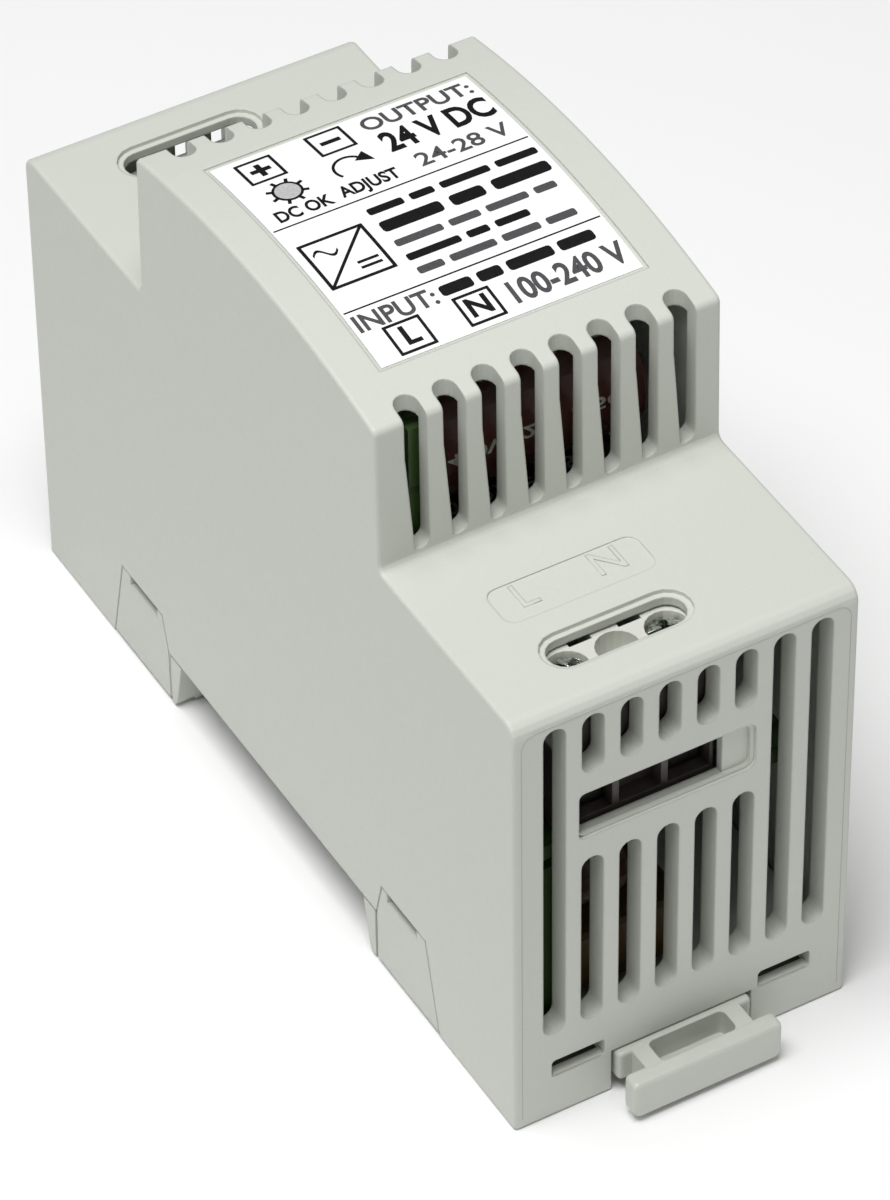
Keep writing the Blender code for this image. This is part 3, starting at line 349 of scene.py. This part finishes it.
SLOT_MATERIALS = {
    "shell_plastic": moulded("shell_plastic", SHELL_COLOR),
    "base_plastic": moulded("base_plastic", tuple(c * 0.97 for c in SHELL_COLOR), 0.46),
    "label_film": label_film("label_film"),
    "board_green": circuit_board("board_green"),
    "terminal_plastic": block_plastic_with_painted_shade("terminal_plastic", 41.0),
    "zinc_steel": STEEL,
    "brass_plate": metal("brass_plate", (0.62, 0.48, 0.20), 0.3),
    "tin_plate": TIN,
    "ferrite": glossy("ferrite", (0.035, 0.035, 0.038), 0.55, 0.15),
    "winding_tape": wound_tape("winding_tape"),
    "black_plastic": BLACK_PLASTIC,
    "copper_wire": COPPER,
    "film_box": glossy("film_box", (0.075, 0.048, 0.012), 0.45, 0.08),
    "fuse_brown": glossy("fuse_brown", (0.045, 0.018, 0.010), 0.35),
    "disc_blue": glossy("disc_blue", (0.015, 0.035, 0.10), 0.3, coat=0.5),
    "sleeve_brown": glossy("sleeve_brown", (0.052, 0.017, 0.012), 0.32, 0.12, 0.08),
    "heatsink_aluminium": metal("heatsink_aluminium", (0.30, 0.30, 0.30), 0.42, (1, 1, 8)),
    "lens_clear": glossy("lens_clear", (0.55, 0.62, 0.55), 0.12, 0.03, 0.6),
    "led_green": glossy("led_green", (0.05, 0.42, 0.07), 0.18, 0.03, 0.8),
    "trimmer_blue": moulded("trimmer_blue", (0.02, 0.09, 0.30), 0.4, 0.006, 0.12),
}

for part in frame["record"]["subparts"]:
    NODES[part["node"]].material_slots[0].material = SLOT_MATERIALS[part["material_slot"]]
NODES["rail_foot"].material_slots[0].material = FOOT_PLASTIC
NODES["output_terminal_block"].material_slots[0].material = block_plastic_with_painted_shade("output_block_plastic", 46.1)
# The clamps get steel with painted shade.
for name in NODES:
    if name.endswith("_clamp"):
        NODES[name].material_slots[0].material = CLAMP_STEEL_PAINTED_SHADE
for name in ("output_capacitor_1", "output_capacitor_2"):
    NODES[name].material_slots[0].material = glossy(name + "_sleeve", (0.010, 0.011, 0.014), 0.35, 0.1, 0.1)


# ---------------------------------------------------------------- shape tools

def new_object(name, data):
    """Add an object with its data to the scene."""
    item = bpy.data.objects.new(name, data)
    bpy.context.scene.collection.objects.link(item)
    return item


def make_object(name, mesh, material, body="housing"):
    """Put a mesh in millimetres in the scene as a piece that rides on a body."""
    mesh.transform(Matrix.Scale(MM, 4))
    item = new_object(name, mesh)
    mesh.materials.clear()
    mesh.materials.append(material)
    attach(item, body)
    return item


def mesh_from(shape, name):
    """Finish a bmesh as a mesh with smooth shading below 35 degrees."""
    bmesh.ops.recalc_face_normals(shape, faces=shape.faces)
    mesh = bpy.data.meshes.new(name)
    shape.to_mesh(mesh)
    shape.free()
    mesh.shade_smooth()
    mesh.set_sharp_from_angle(angle=math.radians(35))
    return mesh


def baked(source):
    """The plain mesh that a curve, text or modified object makes, and remove the object."""
    bpy.context.view_layer.update()
    seen = source.evaluated_get(bpy.context.evaluated_depsgraph_get())
    mesh = bpy.data.meshes.new_from_object(seen)
    bpy.data.objects.remove(source, do_unlink=True)
    return mesh


def tube(points, radius, resolution):
    """Mesh of a round wire along a line of points."""
    curve = bpy.data.curves.new("wire", "CURVE")
    curve.dimensions = "3D"
    curve.bevel_depth = radius
    curve.bevel_resolution = resolution
    curve.use_fill_caps = True
    line = curve.splines.new("POLY")
    line.points.add(len(points) - 1)
    for point, place in zip(line.points, points):
        point.co = (*place, 1)
    return baked(new_object("wire", curve))


def arc(centre, radius, start, end, steps):
    """Points on an arc, both ends included, with angles in degrees."""
    turns = [math.radians(start + (end - start) * i / steps) for i in range(steps + 1)]
    return [(centre[0] + radius * math.cos(a), centre[1] + radius * math.sin(a)) for a in turns]


def round_box(x, y, half_x, half_y, radius, steps=6):
    """Outline of a rectangle with round corners."""
    points = []
    for sx, sy, start in ((1, 1, 0), (-1, 1, 90), (-1, -1, 180), (1, -1, 270)):
        centre = (x + sx * (half_x - radius), y + sy * (half_y - radius))
        points += arc(centre, radius, start, start + 90, steps)
    return points


def join_rows(shape, rows, ring=True):
    """Join closed rows of vertices by faces, and the last row to the first if it is a ring."""
    following = rows[1:] + rows[:1] if ring else rows[1:]
    for a, b in zip(rows, following):
        for i in range(len(a)):
            k = (i + 1) % len(a)
            shape.faces.new((a[i], a[k], b[k], b[i]))


def add_ring(shape, outer, inner, low, high):
    """Add a flat ring between two outlines of equal length."""
    rows = []
    for outline, z in ((outer, low), (outer, high), (inner, high), (inner, low)):
        rows.append([shape.verts.new((x, y, z)) for x, y in outline])
    join_rows(shape, rows)


def add_plate(shape, outline, low, high, chamfer=0.0):
    """Add a flat plate with an optional chamfer round its top."""
    cx = sum(p[0] for p in outline) / len(outline)
    cy = sum(p[1] for p in outline) / len(outline)
    reach = max(abs(p[0] - cx) for p in outline)
    shrink = 1 - chamfer / reach
    rows = [[shape.verts.new((x, y, low)) for x, y in outline],
            [shape.verts.new((x, y, high - chamfer)) for x, y in outline]]
    if chamfer:
        rows.append([shape.verts.new((cx + (x - cx) * shrink, cy + (y - cy) * shrink, high))
                     for x, y in outline])
    join_rows(shape, rows, ring=False)
    shape.faces.new(rows[0][::-1])
    shape.faces.new(rows[-1])


def text_mesh(body, size, weight=0.0, thick=0.03, width=None):
    """Letters in the XY plane as a mesh in millimetres, centred on the origin."""
    curve = bpy.data.curves.new("letters", "FONT")
    curve.body = body
    curve.size = size
    curve.offset = weight
    curve.extrude = thick / 2
    curve.resolution_u = 4
    curve.align_x = "CENTER"
    curve.align_y = "CENTER"
    mesh = baked(new_object("letters", curve))
    if width:
        xs = [v.co.x for v in mesh.vertices]
        mesh.transform(Matrix.Diagonal((width / (max(xs) - min(xs)), 1, 1, 1)))
    return mesh


# ---------------------------------------------------------------- label

def label_z(y):
    """Height of the label's printed face."""
    return LABEL_TOP_Z - LABEL_RADIUS + math.sqrt(LABEL_RADIUS**2 - y * y)


def lay_on_label(shape, name, material):
    """Cut flat print into strips, bend it onto the curved label and add it as a piece."""
    for step in range(-29, 30):
        geometry = shape.verts[:] + shape.edges[:] + shape.faces[:]
        bmesh.ops.bisect_plane(shape, geom=geometry, plane_co=(0, step * STRIP_WIDTH, 0), plane_no=(0, 1, 0))
    bmesh.ops.triangulate(shape, faces=shape.faces)
    for vertex in shape.verts:
        vertex.co.z += label_z(vertex.co.y) + INK_LIFT
    make_object(name, mesh_from(shape, name), material)


def add_text(shape, body, size, x, y, weight=0.0, width=None):
    """Add letters centred on a point."""
    mesh = text_mesh(body, size, weight, 0.03, width)
    mesh.transform(Matrix.Translation((x, y, 0)))
    shape.from_mesh(mesh)
    bpy.data.meshes.remove(mesh)


def add_bar(shape, x, y, length, height):
    """A rounded bar that stands for a line of small print."""
    add_plate(shape, round_box(x + length / 2, y, length / 2, height / 2, height * 0.25, 2), *INK_LAYER)


def add_words(shape, x, y, lengths, height, gap=0.7):
    """A row of bars like words of small print."""
    for length in lengths:
        add_bar(shape, x, y, length, height)
        x += length + gap


def add_frame(shape, x, y, half, line):
    """A printed square frame."""
    outer = round_box(x, y, half, half, 0.08, 2)
    inner = round_box(x, y, half - line, half - line, 0.04, 2)
    add_ring(shape, outer, inner, *INK_LAYER)


def add_line(shape, start, end, width):
    """A straight printed line with square ends."""
    a, b = Vector(start), Vector(end)
    side = (b - a).normalized().orthogonal() * width / 2
    add_plate(shape, [tuple(p) for p in (a + side, b + side, b - side, a - side)], *INK_LAYER)


def make_label_print():
    """Terminal marks, ratings and rules of the label in two inks."""
    black, grey, pale = bmesh.new(), bmesh.new(), bmesh.new()
    for x, y, sign in ((-9.4, 12.9, "+"), (-2.05, 13.3, "-"), (-9.1, -13.3, "L"), (-2.0, -13.1, "N")):
        add_frame(black, x, y, 1.85, 0.3)
        if sign in "+-":
            add_plate(black, round_box(x, y, 1.0, 0.28, 0.05, 2), *INK_LAYER)
        if sign == "+":
            add_plate(black, round_box(x, y, 0.28, 1.0, 0.05, 2), -0.012, 0.018)
        if sign in "LN":
            add_text(black, sign, 3.1, x, y, 0.09)
    for inks, body, size, x, y, weight, width in (
            (grey, "OUTPUT:", 2.9, 7.0, 13.6, 0.06, 11.2), (black, "24 V DC", 4.3, 7.2, 10.0, 0.14, 11.0),
            (grey, "24-28 V", 2.8, 7.5, 6.1, 0.04, 9.4), (black, "DC OK", 2.2, -9.1, 5.5, 0.06, 5.6),
            (black, "ADJUST", 2.2, -2.3, 5.7, 0.06, 6.0), (grey, "INPUT:", 2.9, -8.8, -10.3, 0.06, 8.0),
            (grey, "100-240 V", 3.6, 6.7, -13.2, 0.1, 11.6)):
        add_text(inks, body, size, x, y, weight, width)
    add_words(black, -4.2, -10.1, (3.2, 2.4, 4.6, 3.6), 1.3, 0.6)
    for y in (4.0, -8.5):
        add_line(black, (LABEL_X[0] + 0.2, y), (LABEL_X[1] - 0.2, y), 0.17)
    for i in range(8):
        turn = math.radians(22.5 + 45 * i)
        ray = Vector((math.cos(turn), math.sin(turn)))
        add_line(black, SUN + ray * 1.3, SUN + ray * 1.95, 0.34)
    outer = arc(SUN, 1.46, 0, 345, 23)
    add_ring(black, outer, arc(SUN, 1.2, 0, 345, 23), *INK_LAYER)
    add_plate(pale, arc(SUN, 1.23, 0, 345, 23), -0.02, 0.01)
    sweep = arc(SWEEP, 1.75, 25, 215, 18) + arc(SWEEP, 1.47, 25, 215, 18)[::-1]
    add_plate(black, sweep, *INK_LAYER)
    add_plate(black, [(-0.1, 8.6), (-1.75, 9.35), (-0.55, 10.35)], *INK_LAYER)
    make_converter_mark(black)
    add_words(black, -4.6, 2.0, (3.6, 2.4, 5.0, 4.2), 0.95)
    add_words(black, -4.6, -0.4, (6.2, 3.4, 5.8), 1.5, 0.9)
    add_words(grey, -4.6, -2.9, (4.8, 3.1, 4.2, 2.2), 0.9)
    add_words(black, -4.6, -5.0, (5.4, 2.2, 3.4), 0.9)
    add_words(grey, -4.6, -6.9, (2.6, 4.6, 3.8, 3.0), 0.9)
    lay_on_label(black, "label_print_black", INK_BLACK)
    lay_on_label(grey, "label_print_grey", INK_GREY)
    lay_on_label(pale, "label_print_pale", INK_PALE)


def make_converter_mark(shape):
    """The usual sign for an AC to DC converter: a halved square with a wave and two bars."""
    x, y, half = -9.1, -2.2, 3.3
    add_frame(shape, x, y, half, 0.34)
    add_line(shape, (x - half + 0.2, y - half + 0.2), (x + half - 0.2, y + half - 0.2), 0.3)
    wave = [(x - 2.6 + 2.4 * i / 16, y + 1.5 + 0.55 * math.sin(2 * math.pi * i / 16)) for i in range(17)]
    lower = [(px, py - 0.34) for px, py in wave]
    add_plate(shape, wave + lower[::-1], *INK_LAYER)
    for step in (0, 0.75):
        add_line(shape, (x + 0.4, y - 1.2 - step), (x + 2.5, y - 1.2 - step), 0.32)


def make_label_border():
    """Sloped border that leads from the curved front down to the label film."""
    shape = bmesh.new()
    steps = 24
    width, gap, buried = 0.38, 0.01, 0.48
    rows = [[], [], [], []]
    outline = []
    half_x, half_y = LABEL_X[1] + width, LABEL_Y[1] + width
    for i in range(steps + 1):
        outline.append((half_x, -half_y + 2 * half_y * i / steps))
    for i in range(steps + 1):
        outline.append((-half_x, half_y - 2 * half_y * i / steps))
    crown_centre = LABEL_TOP_Z + LABEL_SUNK - CROWN_RADIUS
    shrink_x = (LABEL_X[1] + gap) / half_x
    shrink_y = (LABEL_Y[1] + gap) / half_y
    for x, y in outline:
        z = crown_centre + math.sqrt(CROWN_RADIUS**2 - y * y)
        rows[0].append(shape.verts.new((x, y, z - buried)))
        rows[1].append(shape.verts.new((x, y, z - 0.09)))
        rows[2].append(shape.verts.new((x * shrink_x, y * shrink_y, z - 0.15)))
        rows[3].append(shape.verts.new((x * shrink_x, y * shrink_y, z - buried)))
    join_rows(shape, rows)
    shell_piece(shape, "label_border")


# ---------------------------------------------------------------- marks on the housing

def make_terminal_marks():
    """Raised letters in the sunk panel on the input shoulder."""
    for body, x, y in (("L", -8.0, -30.8), ("N", 0.5, -30.8)):
        mesh = text_mesh(body, 4.3, 0.03, 0.2)
        mesh.transform(Matrix.Translation((x, y, SHOULDER_Z - 0.12)))
        make_object("mark_" + body, mesh, SLOT_MATERIALS["shell_plastic"])


def add_prism(shape, outline, place, low, high):
    """Add a prism along a turned axis: the outline's plane is set by a 4x4 matrix."""
    part = bmesh.new()
    add_plate(part, outline, low, high)
    part.transform(place)
    mesh = bpy.data.meshes.new("prism")
    part.to_mesh(mesh)
    part.free()
    shape.from_mesh(mesh)
    bpy.data.meshes.remove(mesh)


def rect(xs, zs):
    """Corners of a rectangle between two pairs of limits."""
    return [(xs[0], zs[0]), (xs[1], zs[0]), (xs[1], zs[1]), (xs[0], zs[1])]


ALONG_X = Matrix(((0, 0, 1, 0), (1, 0, 0, 0), (0, 1, 0, 0), (0, 0, 0, 1)))
ALONG_Y = Matrix(((1, 0, 0, 0), (0, 0, -1, 0), (0, 1, 0, 0), (0, 0, 0, 1)))
ALONG_BACK_Y = Matrix(((1, 0, 0, 0), (0, 0, 1, 0), (0, 1, 0, 0), (0, 0, 0, 1)))


def shell_piece(shape, name, material=None):
    """Add a bmesh as a piece of the housing, in shell plastic unless told otherwise."""
    make_object(name, mesh_from(shape, name), material or SLOT_MATERIALS["shell_plastic"])


def make_window_rims():
    """The stepped rims of the wire windows."""
    for side, word in ((-1, "input"), (1, "output")):
        shape = bmesh.new()
        cx, cz = sum(WINDOW_X) / 2, sum(WINDOW_Z) / 2
        half_x = (WINDOW_X[1] - WINDOW_X[0]) / 2 + 0.02
        half_z = (WINDOW_Z[1] - WINDOW_Z[0]) / 2 + 0.02
        outer = round_box(cx, cz, half_x, half_z, 1.0, 5)
        inner = round_box(cx - 0.22, cz, half_x - 0.26, half_z - 0.36, 0.75, 5)
        add_ring(shape, outer, inner, 0.28, WINDOW_DEPTH + 0.05)
        turned = ALONG_BACK_Y if side < 0 else ALONG_Y
        shape.transform(Matrix.Translation((0, side * HALF_Y, 0)) @ turned)
        shell_piece(shape, "window_rim_" + word)


def make_latch_details():
    """Painted shade as near-black backs and floors of the latch windows, and their sloped sills."""
    low, high = LATCH_Z
    sill = ((0.05, -0.02), (0.3, 0.14), (0.65, 0.3), (1.0, 0.25), (1.0, -0.02))
    for side, word in ((-1, "input"), (1, "output")):
        shade_plates, sills = bmesh.new(), bmesh.new()
        for sign in (-1, 1):
            left, right = sorted((sign * LATCH_X[0], sign * LATCH_X[1]))
            back = sorted((-side * LATCH_BACK_Y[0], -side * LATCH_BACK_Y[1]))
            # The back and floor plates are painted shade.
            add_prism(shade_plates, rect((left - 0.3, right + 0.3), (low + 0.2, high + 0.3)), ALONG_Y, *back)
            floor = sorted((-side * LATCH_FLOOR_Y, -side * (HALF_Y - 0.95)))
            add_prism(shade_plates, rect((left + 0.02, right - 0.02), (low + 0.01, low + 0.06)), ALONG_Y, *floor)
            slope = [(side * (HALF_Y - depth), low + rise) for depth, rise in sill]
            add_prism(sills, slope, ALONG_X, left + 0.02, right - 0.02)
        shell_piece(shade_plates, "latch_painted_shade_" + word, PAINTED_SHADE)
        shell_piece(sills, "latch_sill_" + word)


def make_side_slits():
    """Painted shade as near-black backs of the release slits, and the thin webs that close the tongue gaps.
    """
    gap, sunk, overlap = 0.187, 0.13, 0.02
    top = up(10.35)
    outline = [(19.95, up(0.35)), (19.95, up(6.2)), (21.0, top), (29.15, top), (31.5, up(0.35))]
    strips = [(outline[0], outline[1]), (outline[1], outline[2]), (outline[2], (22.0, top)),
              ((27.6, top), outline[3]), (outline[3], outline[4])]
    for sign, word in ((-1, "left"), (1, "right")):
        shade_plates, webs = bmesh.new(), bmesh.new()
        for side in (-1, 1):
            # The back plates are painted shade.
            limits = sorted((sign * 15.98, sign * 16.1))
            slit = rect((22.15, 27.45), (up(9.15), up(10.3)))
            add_prism(shade_plates, [(side * y, z) for y, z in slit], ALONG_X, *limits)
            limits = sorted((sign * 16.4, sign * (HALF_X - sunk)))
            for start, end in strips:
                a, b = Vector(start), Vector(end)
                inward = Vector((25.2, up(4.0))) - (a + b) / 2
                normal = (b - a).normalized().orthogonal()
                normal = normal if normal.dot(inward) > 0 else -normal
                corners = [a - normal * overlap, b - normal * overlap, b + normal * gap, a + normal * gap]
                add_prism(webs, [(side * p.x, p.y) for p in corners], ALONG_X, *limits)
        shell_piece(shade_plates, "slit_painted_shade_" + word, PAINTED_SHADE)
        shell_piece(webs, "tongue_web_" + word)


def make_wall_fillets():
    """Concave fillets where the raised part stands on the shoulders."""
    radius = 0.75
    for side, word in ((-1, "input"), (1, "output")):
        shape = bmesh.new()
        centre = (RAISED_Y + radius, SHOULDER_Z + radius)
        curve = [(centre[0] - radius * math.sin(a), centre[1] - radius * math.cos(a))
                 for a in (math.pi / 2 * i / 7 for i in range(8))]
        wall_y, low_z = RAISED_Y - 0.03, SHOULDER_Z - 0.05
        outline = [(RAISED_Y + radius, low_z)] + curve + [(wall_y, SHOULDER_Z + radius), (wall_y, low_z)]
        add_prism(shape, [(side * y, z) for y, z in outline], ALONG_X, -HALF_X + 0.35, HALF_X - 0.35)
        shell_piece(shape, "wall_fillet_" + word)


def make_end_seams():
    """Fine parting lines near the edges of both end walls."""
    for side, word in ((-1, "input"), (1, "output")):
        low, high, half, radius = FLOOR_Z + 1.0, FLOOR_Z + 48.7, 16.7, 1.6
        points = [(half, low)] + arc((half - radius, high - radius), radius, 0, 90, 8)
        points += arc((-half + radius, high - radius), radius, 90, 180, 8) + [(-half, low)]
        line = [(x, side * (HALF_Y - 0.02), z) for x, z in points]
        make_object("end_seam_" + word, tube(line, 0.055, 1), SEAM)


# ---------------------------------------------------------------- screws

def make_screw(node, head_radius, head_height, shank_radius, turn):
    """A terminal screw with a combined slot and cross recess in its domed head."""
    centre = middle(node)
    low, high = span(node, 2)
    head_low = high - head_height
    dome, dome_steps, bevel, tip = 0.2, 7, 0.12, 0.5
    profile = [(0.0, high)]
    for i in range(1, dome_steps + 1):
        r = head_radius * 0.94 * i / dome_steps
        profile.append((r, high - dome * (i / dome_steps)**2))
    profile += [(head_radius, high - 0.34), (head_radius, head_low + bevel),
                (head_radius - bevel, head_low), (shank_radius, head_low), (shank_radius, low + tip),
                (shank_radius * 0.6, low), (0.0, low)]
    mesh = bpy.data.meshes.new(node + "_detail")
    mesh.from_pydata([(r, 0, z) for r, z in profile], [(i, i + 1) for i in range(len(profile) - 1)], [])
    source = new_object("turning", mesh)
    screw = source.modifiers.new("turn", "SCREW")
    screw.steps = screw.render_steps = 48
    screw.use_merge_vertices = True
    screw.merge_threshold = 0.0001
    cutters = []
    taper = 0.62
    for half_x, half_y, depth in ((head_radius * 1.2, 0.24 * head_radius, 0.9),
                                  (0.27 * head_radius, 0.84 * head_radius, 1.15)):
        shape = bmesh.new()
        place = Matrix.Translation((0, 0, high - depth / 2 + 0.5))
        size = Matrix.Diagonal((2 * half_x, 2 * half_y, depth + 1, 1))
        bmesh.ops.create_cube(shape, size=1.0, matrix=place @ size)
        for vertex in shape.verts:
            if vertex.co.z < high - depth + 0.6:
                vertex.co.x *= taper
                vertex.co.y *= taper
        tool_mesh = bpy.data.meshes.new("recess")
        shape.to_mesh(tool_mesh)
        shape.free()
        tool = new_object("recess", tool_mesh)
        cut = source.modifiers.new("recess", "BOOLEAN")
        cut.operation = "DIFFERENCE"
        cut.solver = "EXACT"
        cut.object = tool
        cutters.append(tool)
    result = baked(source)
    for tool in cutters:
        bpy.data.objects.remove(tool, do_unlink=True)
    place = Matrix.Translation((centre.x, centre.y, 0))
    result.transform(place @ Matrix.Rotation(math.radians(turn), 4, "Z"))
    result.shade_smooth()
    result.set_sharp_from_angle(angle=math.radians(30))
    steel = screw_steel(node + "_steel", high)
    piece = make_object(node + "_detail", result, steel, node)
    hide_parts(node)


def make_screws():
    """All terminal screws, each left at its own angle."""
    for name, turn in (("input_line", 35), ("input_neutral", -8)):
        make_screw(name + "_screw", 1.85, 1.7, 1.2, turn)
    for name, turn in (("output_plus_1", 20), ("output_plus_2", 75), ("output_minus_1", -30),
                       ("output_minus_2", 50)):
        make_screw(name + "_screw", 1.4, 1.35, 0.75, turn)


# ---------------------------------------------------------------- wound rings and capacitors

def make_wound_ring(node, wire, turns):
    """A ring core with enamelled wire wound over three quarters of it."""
    low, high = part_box(node)
    centre = middle(node)
    outer = (high.y - low.y) / 2 / MM
    half = (high.x - low.x) / 2 / MM
    minor = half - 0.05
    major = outer - minor
    shape = bmesh.new()
    side = minor - wire * 1.15
    profile = round_box(0, 0, side, side * 0.92, side * 0.3, 3)
    steps = 40
    rings = []
    for i in range(steps):
        angle = 2 * math.pi * i / steps
        rings.append([shape.verts.new((px, (major + py) * math.cos(angle), (major + py) * math.sin(angle)))
                      for px, py in profile])
    join_rows(shape, rings)
    shape.transform(Matrix.Translation(centre))
    core_mesh = mesh_from(shape, node + "_core")
    core = make_object(node + "_core", core_mesh, SLOT_MATERIALS["ferrite"])
    per_turn = 14
    count = turns * per_turn
    reach = minor - wire / 2
    points = []
    for i in range(count + 1):
        around = math.radians(40 + 290 * i / count)
        wind = 2 * math.pi * i / per_turn
        r = major + reach * math.cos(wind)
        points.append((centre.x + reach * math.sin(wind), centre.y + r * math.cos(around),
                       centre.z + r * math.sin(around)))
    coil_mesh = tube(points, wire / 2, 2)
    coil_mesh.shade_smooth()
    coil = make_object(node + "_winding", coil_mesh, COPPER)
    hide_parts(node)
    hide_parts(node)


def wrap_on_can(mesh, node, angle):
    """Bend flat letters round a capacitor that lies along X, at an angle from +Z towards -Y."""
    low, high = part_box(node)
    centre = middle(node)
    radius = (high.z - low.z) / 2 / MM
    start = math.radians(angle)
    for vertex in mesh.vertices:
        x, across, lift = vertex.co
        turn = start + across / radius
        r = radius + 0.015 + lift
        vertex.co = (centre.x + x, centre.y - r * math.sin(turn), centre.z + r * math.cos(turn))


def make_capacitor_prints():
    """Ratings printed on the capacitor sleeves, and the bare ends of their cans."""
    prints = (("bulk_capacitor_1", "400V 22uF 105C", 1.7, 18.0),
              ("bulk_capacitor_2", "400V 22uF 105C", 1.7, 18.0),
              ("output_capacitor_1", "35V 680uF", 1.6, 13.0), ("output_capacitor_2", "35V 680uF", 1.6, 13.0))
    for node, body, size, width in prints:
        for index, angle in enumerate((78, 18, -42, 138)):
            mesh = text_mesh(body, size, 0.04, 0.02, width)
            wrap_on_can(mesh, node, angle)
            make_object("%s_print_%d" % (node, index), mesh, SLEEVE_INK)
        low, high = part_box(node)
        centre = middle(node)
        radius = (high.z - low.z) / 2 / MM
        shape = bmesh.new()
        add_plate(shape, arc((0, 0), radius - 0.9, 0, 350, 35), 0, 0.12, 0.05)
        reach = radius - 1.6
        for turn in (0, 60, 120):
            spoke = rect((-reach, reach), (-0.1, 0.1))
            add_prism(shape, spoke, Matrix.Rotation(math.radians(turn), 4, "Z"), 0.1, 0.2)
        face = Matrix.Translation((high.x / MM + 0.02, centre.y, centre.z))
        shape.transform(face @ Matrix.Rotation(math.pi / 2, 4, "Y"))
        end_mesh = mesh_from(shape, node + "_end")
        make_object(node + "_end", end_mesh, SLOT_MATERIALS["heatsink_aluminium"])


# ---------------------------------------------------------------- floor, light and camera

CAMERA_AZIMUTH = -29.54
CAMERA_ELEVATION = 43.09
CAMERA_ROLL = 0.82
CAMERA_DISTANCE = 645.85
CAMERA_OFFSET = (-1.12, -15.2)
CAMERA_LENS = 203.6
FLOOR_REACH = 6  # metres
FLOOR_GAP = 0.2
LIGHT_TARGET = (0, 0, 20)


def make_camera():
    """Camera at the viewing angle, placed from the middle of the housing floor."""
    data = bpy.data.cameras.new("camera")
    camera = new_object("camera", data)
    turn = math.radians(CAMERA_AZIMUTH)
    lift = math.radians(CAMERA_ELEVATION)
    back = Vector((math.sin(turn) * math.cos(lift), -math.cos(turn) * math.cos(lift), math.sin(lift)))
    right = Vector((0, 0, 1)).cross(back).normalized()
    above = back.cross(right)
    roll = math.radians(CAMERA_ROLL)
    axes = (right * math.cos(roll) - above * math.sin(roll),
            right * math.sin(roll) + above * math.cos(roll), back)
    basis = Matrix(axes).transposed()
    offset = Vector((CAMERA_OFFSET[0], CAMERA_OFFSET[1], -CAMERA_DISTANCE))
    place = Vector((0, 0, FLOOR_Z)) - basis @ offset
    camera.matrix_world = Matrix.Translation(place * MM) @ basis.to_4x4()
    data.lens = CAMERA_LENS
    data.sensor_width = 36
    data.clip_start = 0.01
    data.clip_end = 20
    bpy.context.scene.camera = camera


def make_floor():
    """A plain pale floor that reaches metres past the view, a little below the housing."""
    mesh = bpy.data.meshes.new("floor")
    shape = bmesh.new()
    bmesh.ops.create_grid(shape, x_segments=2, y_segments=2, size=FLOOR_REACH)
    shape.transform(Matrix.Translation((0, 0, (FLOOR_Z - FLOOR_GAP) * MM)))
    shape.to_mesh(mesh)
    shape.free()
    floor = new_object("floor", mesh)
    floor.data.materials.append(Paint("floor", (0.95, 0.95, 0.95), 0.9).material)


def make_light(name, place, size, power):
    """A soft area light aimed at the middle of the housing."""
    data = bpy.data.lights.new(name, "AREA")
    data.shape = "RECTANGLE"
    data.size = size[0] * MM
    data.size_y = size[1] * MM
    data.energy = power
    light = new_object(name, data)
    light.location = Vector(place) * MM
    aim = Vector(LIGHT_TARGET) * MM - light.location
    light.rotation_mode = "QUATERNION"
    light.rotation_quaternion = aim.to_track_quat("-Z", "Y")


def make_world(strength):
    """Even white surroundings."""
    world = bpy.data.worlds.new("surroundings")
    world.use_nodes = True
    background = world.node_tree.nodes["Background"]
    background.inputs["Color"].default_value = (1, 1, 1, 1)
    background.inputs["Strength"].default_value = strength
    bpy.context.scene.world = world


make_label_print()
make_label_border()
make_terminal_marks()
make_window_rims()
make_latch_details()
make_side_slits()
make_wall_fillets()
make_end_seams()
make_screws()
make_wound_ring("line_choke", 0.55, 26)
make_wound_ring("output_inductor", 0.45, 24)
make_capacitor_prints()
make_camera()
make_floor()
make_world(0.2)
make_light("key", (-175, -80, 730), (420, 420), 5.5)
make_light("fill", (90, -700, 200), (500, 300), 0.15)
bpy.context.scene.view_settings.view_transform = "Standard"
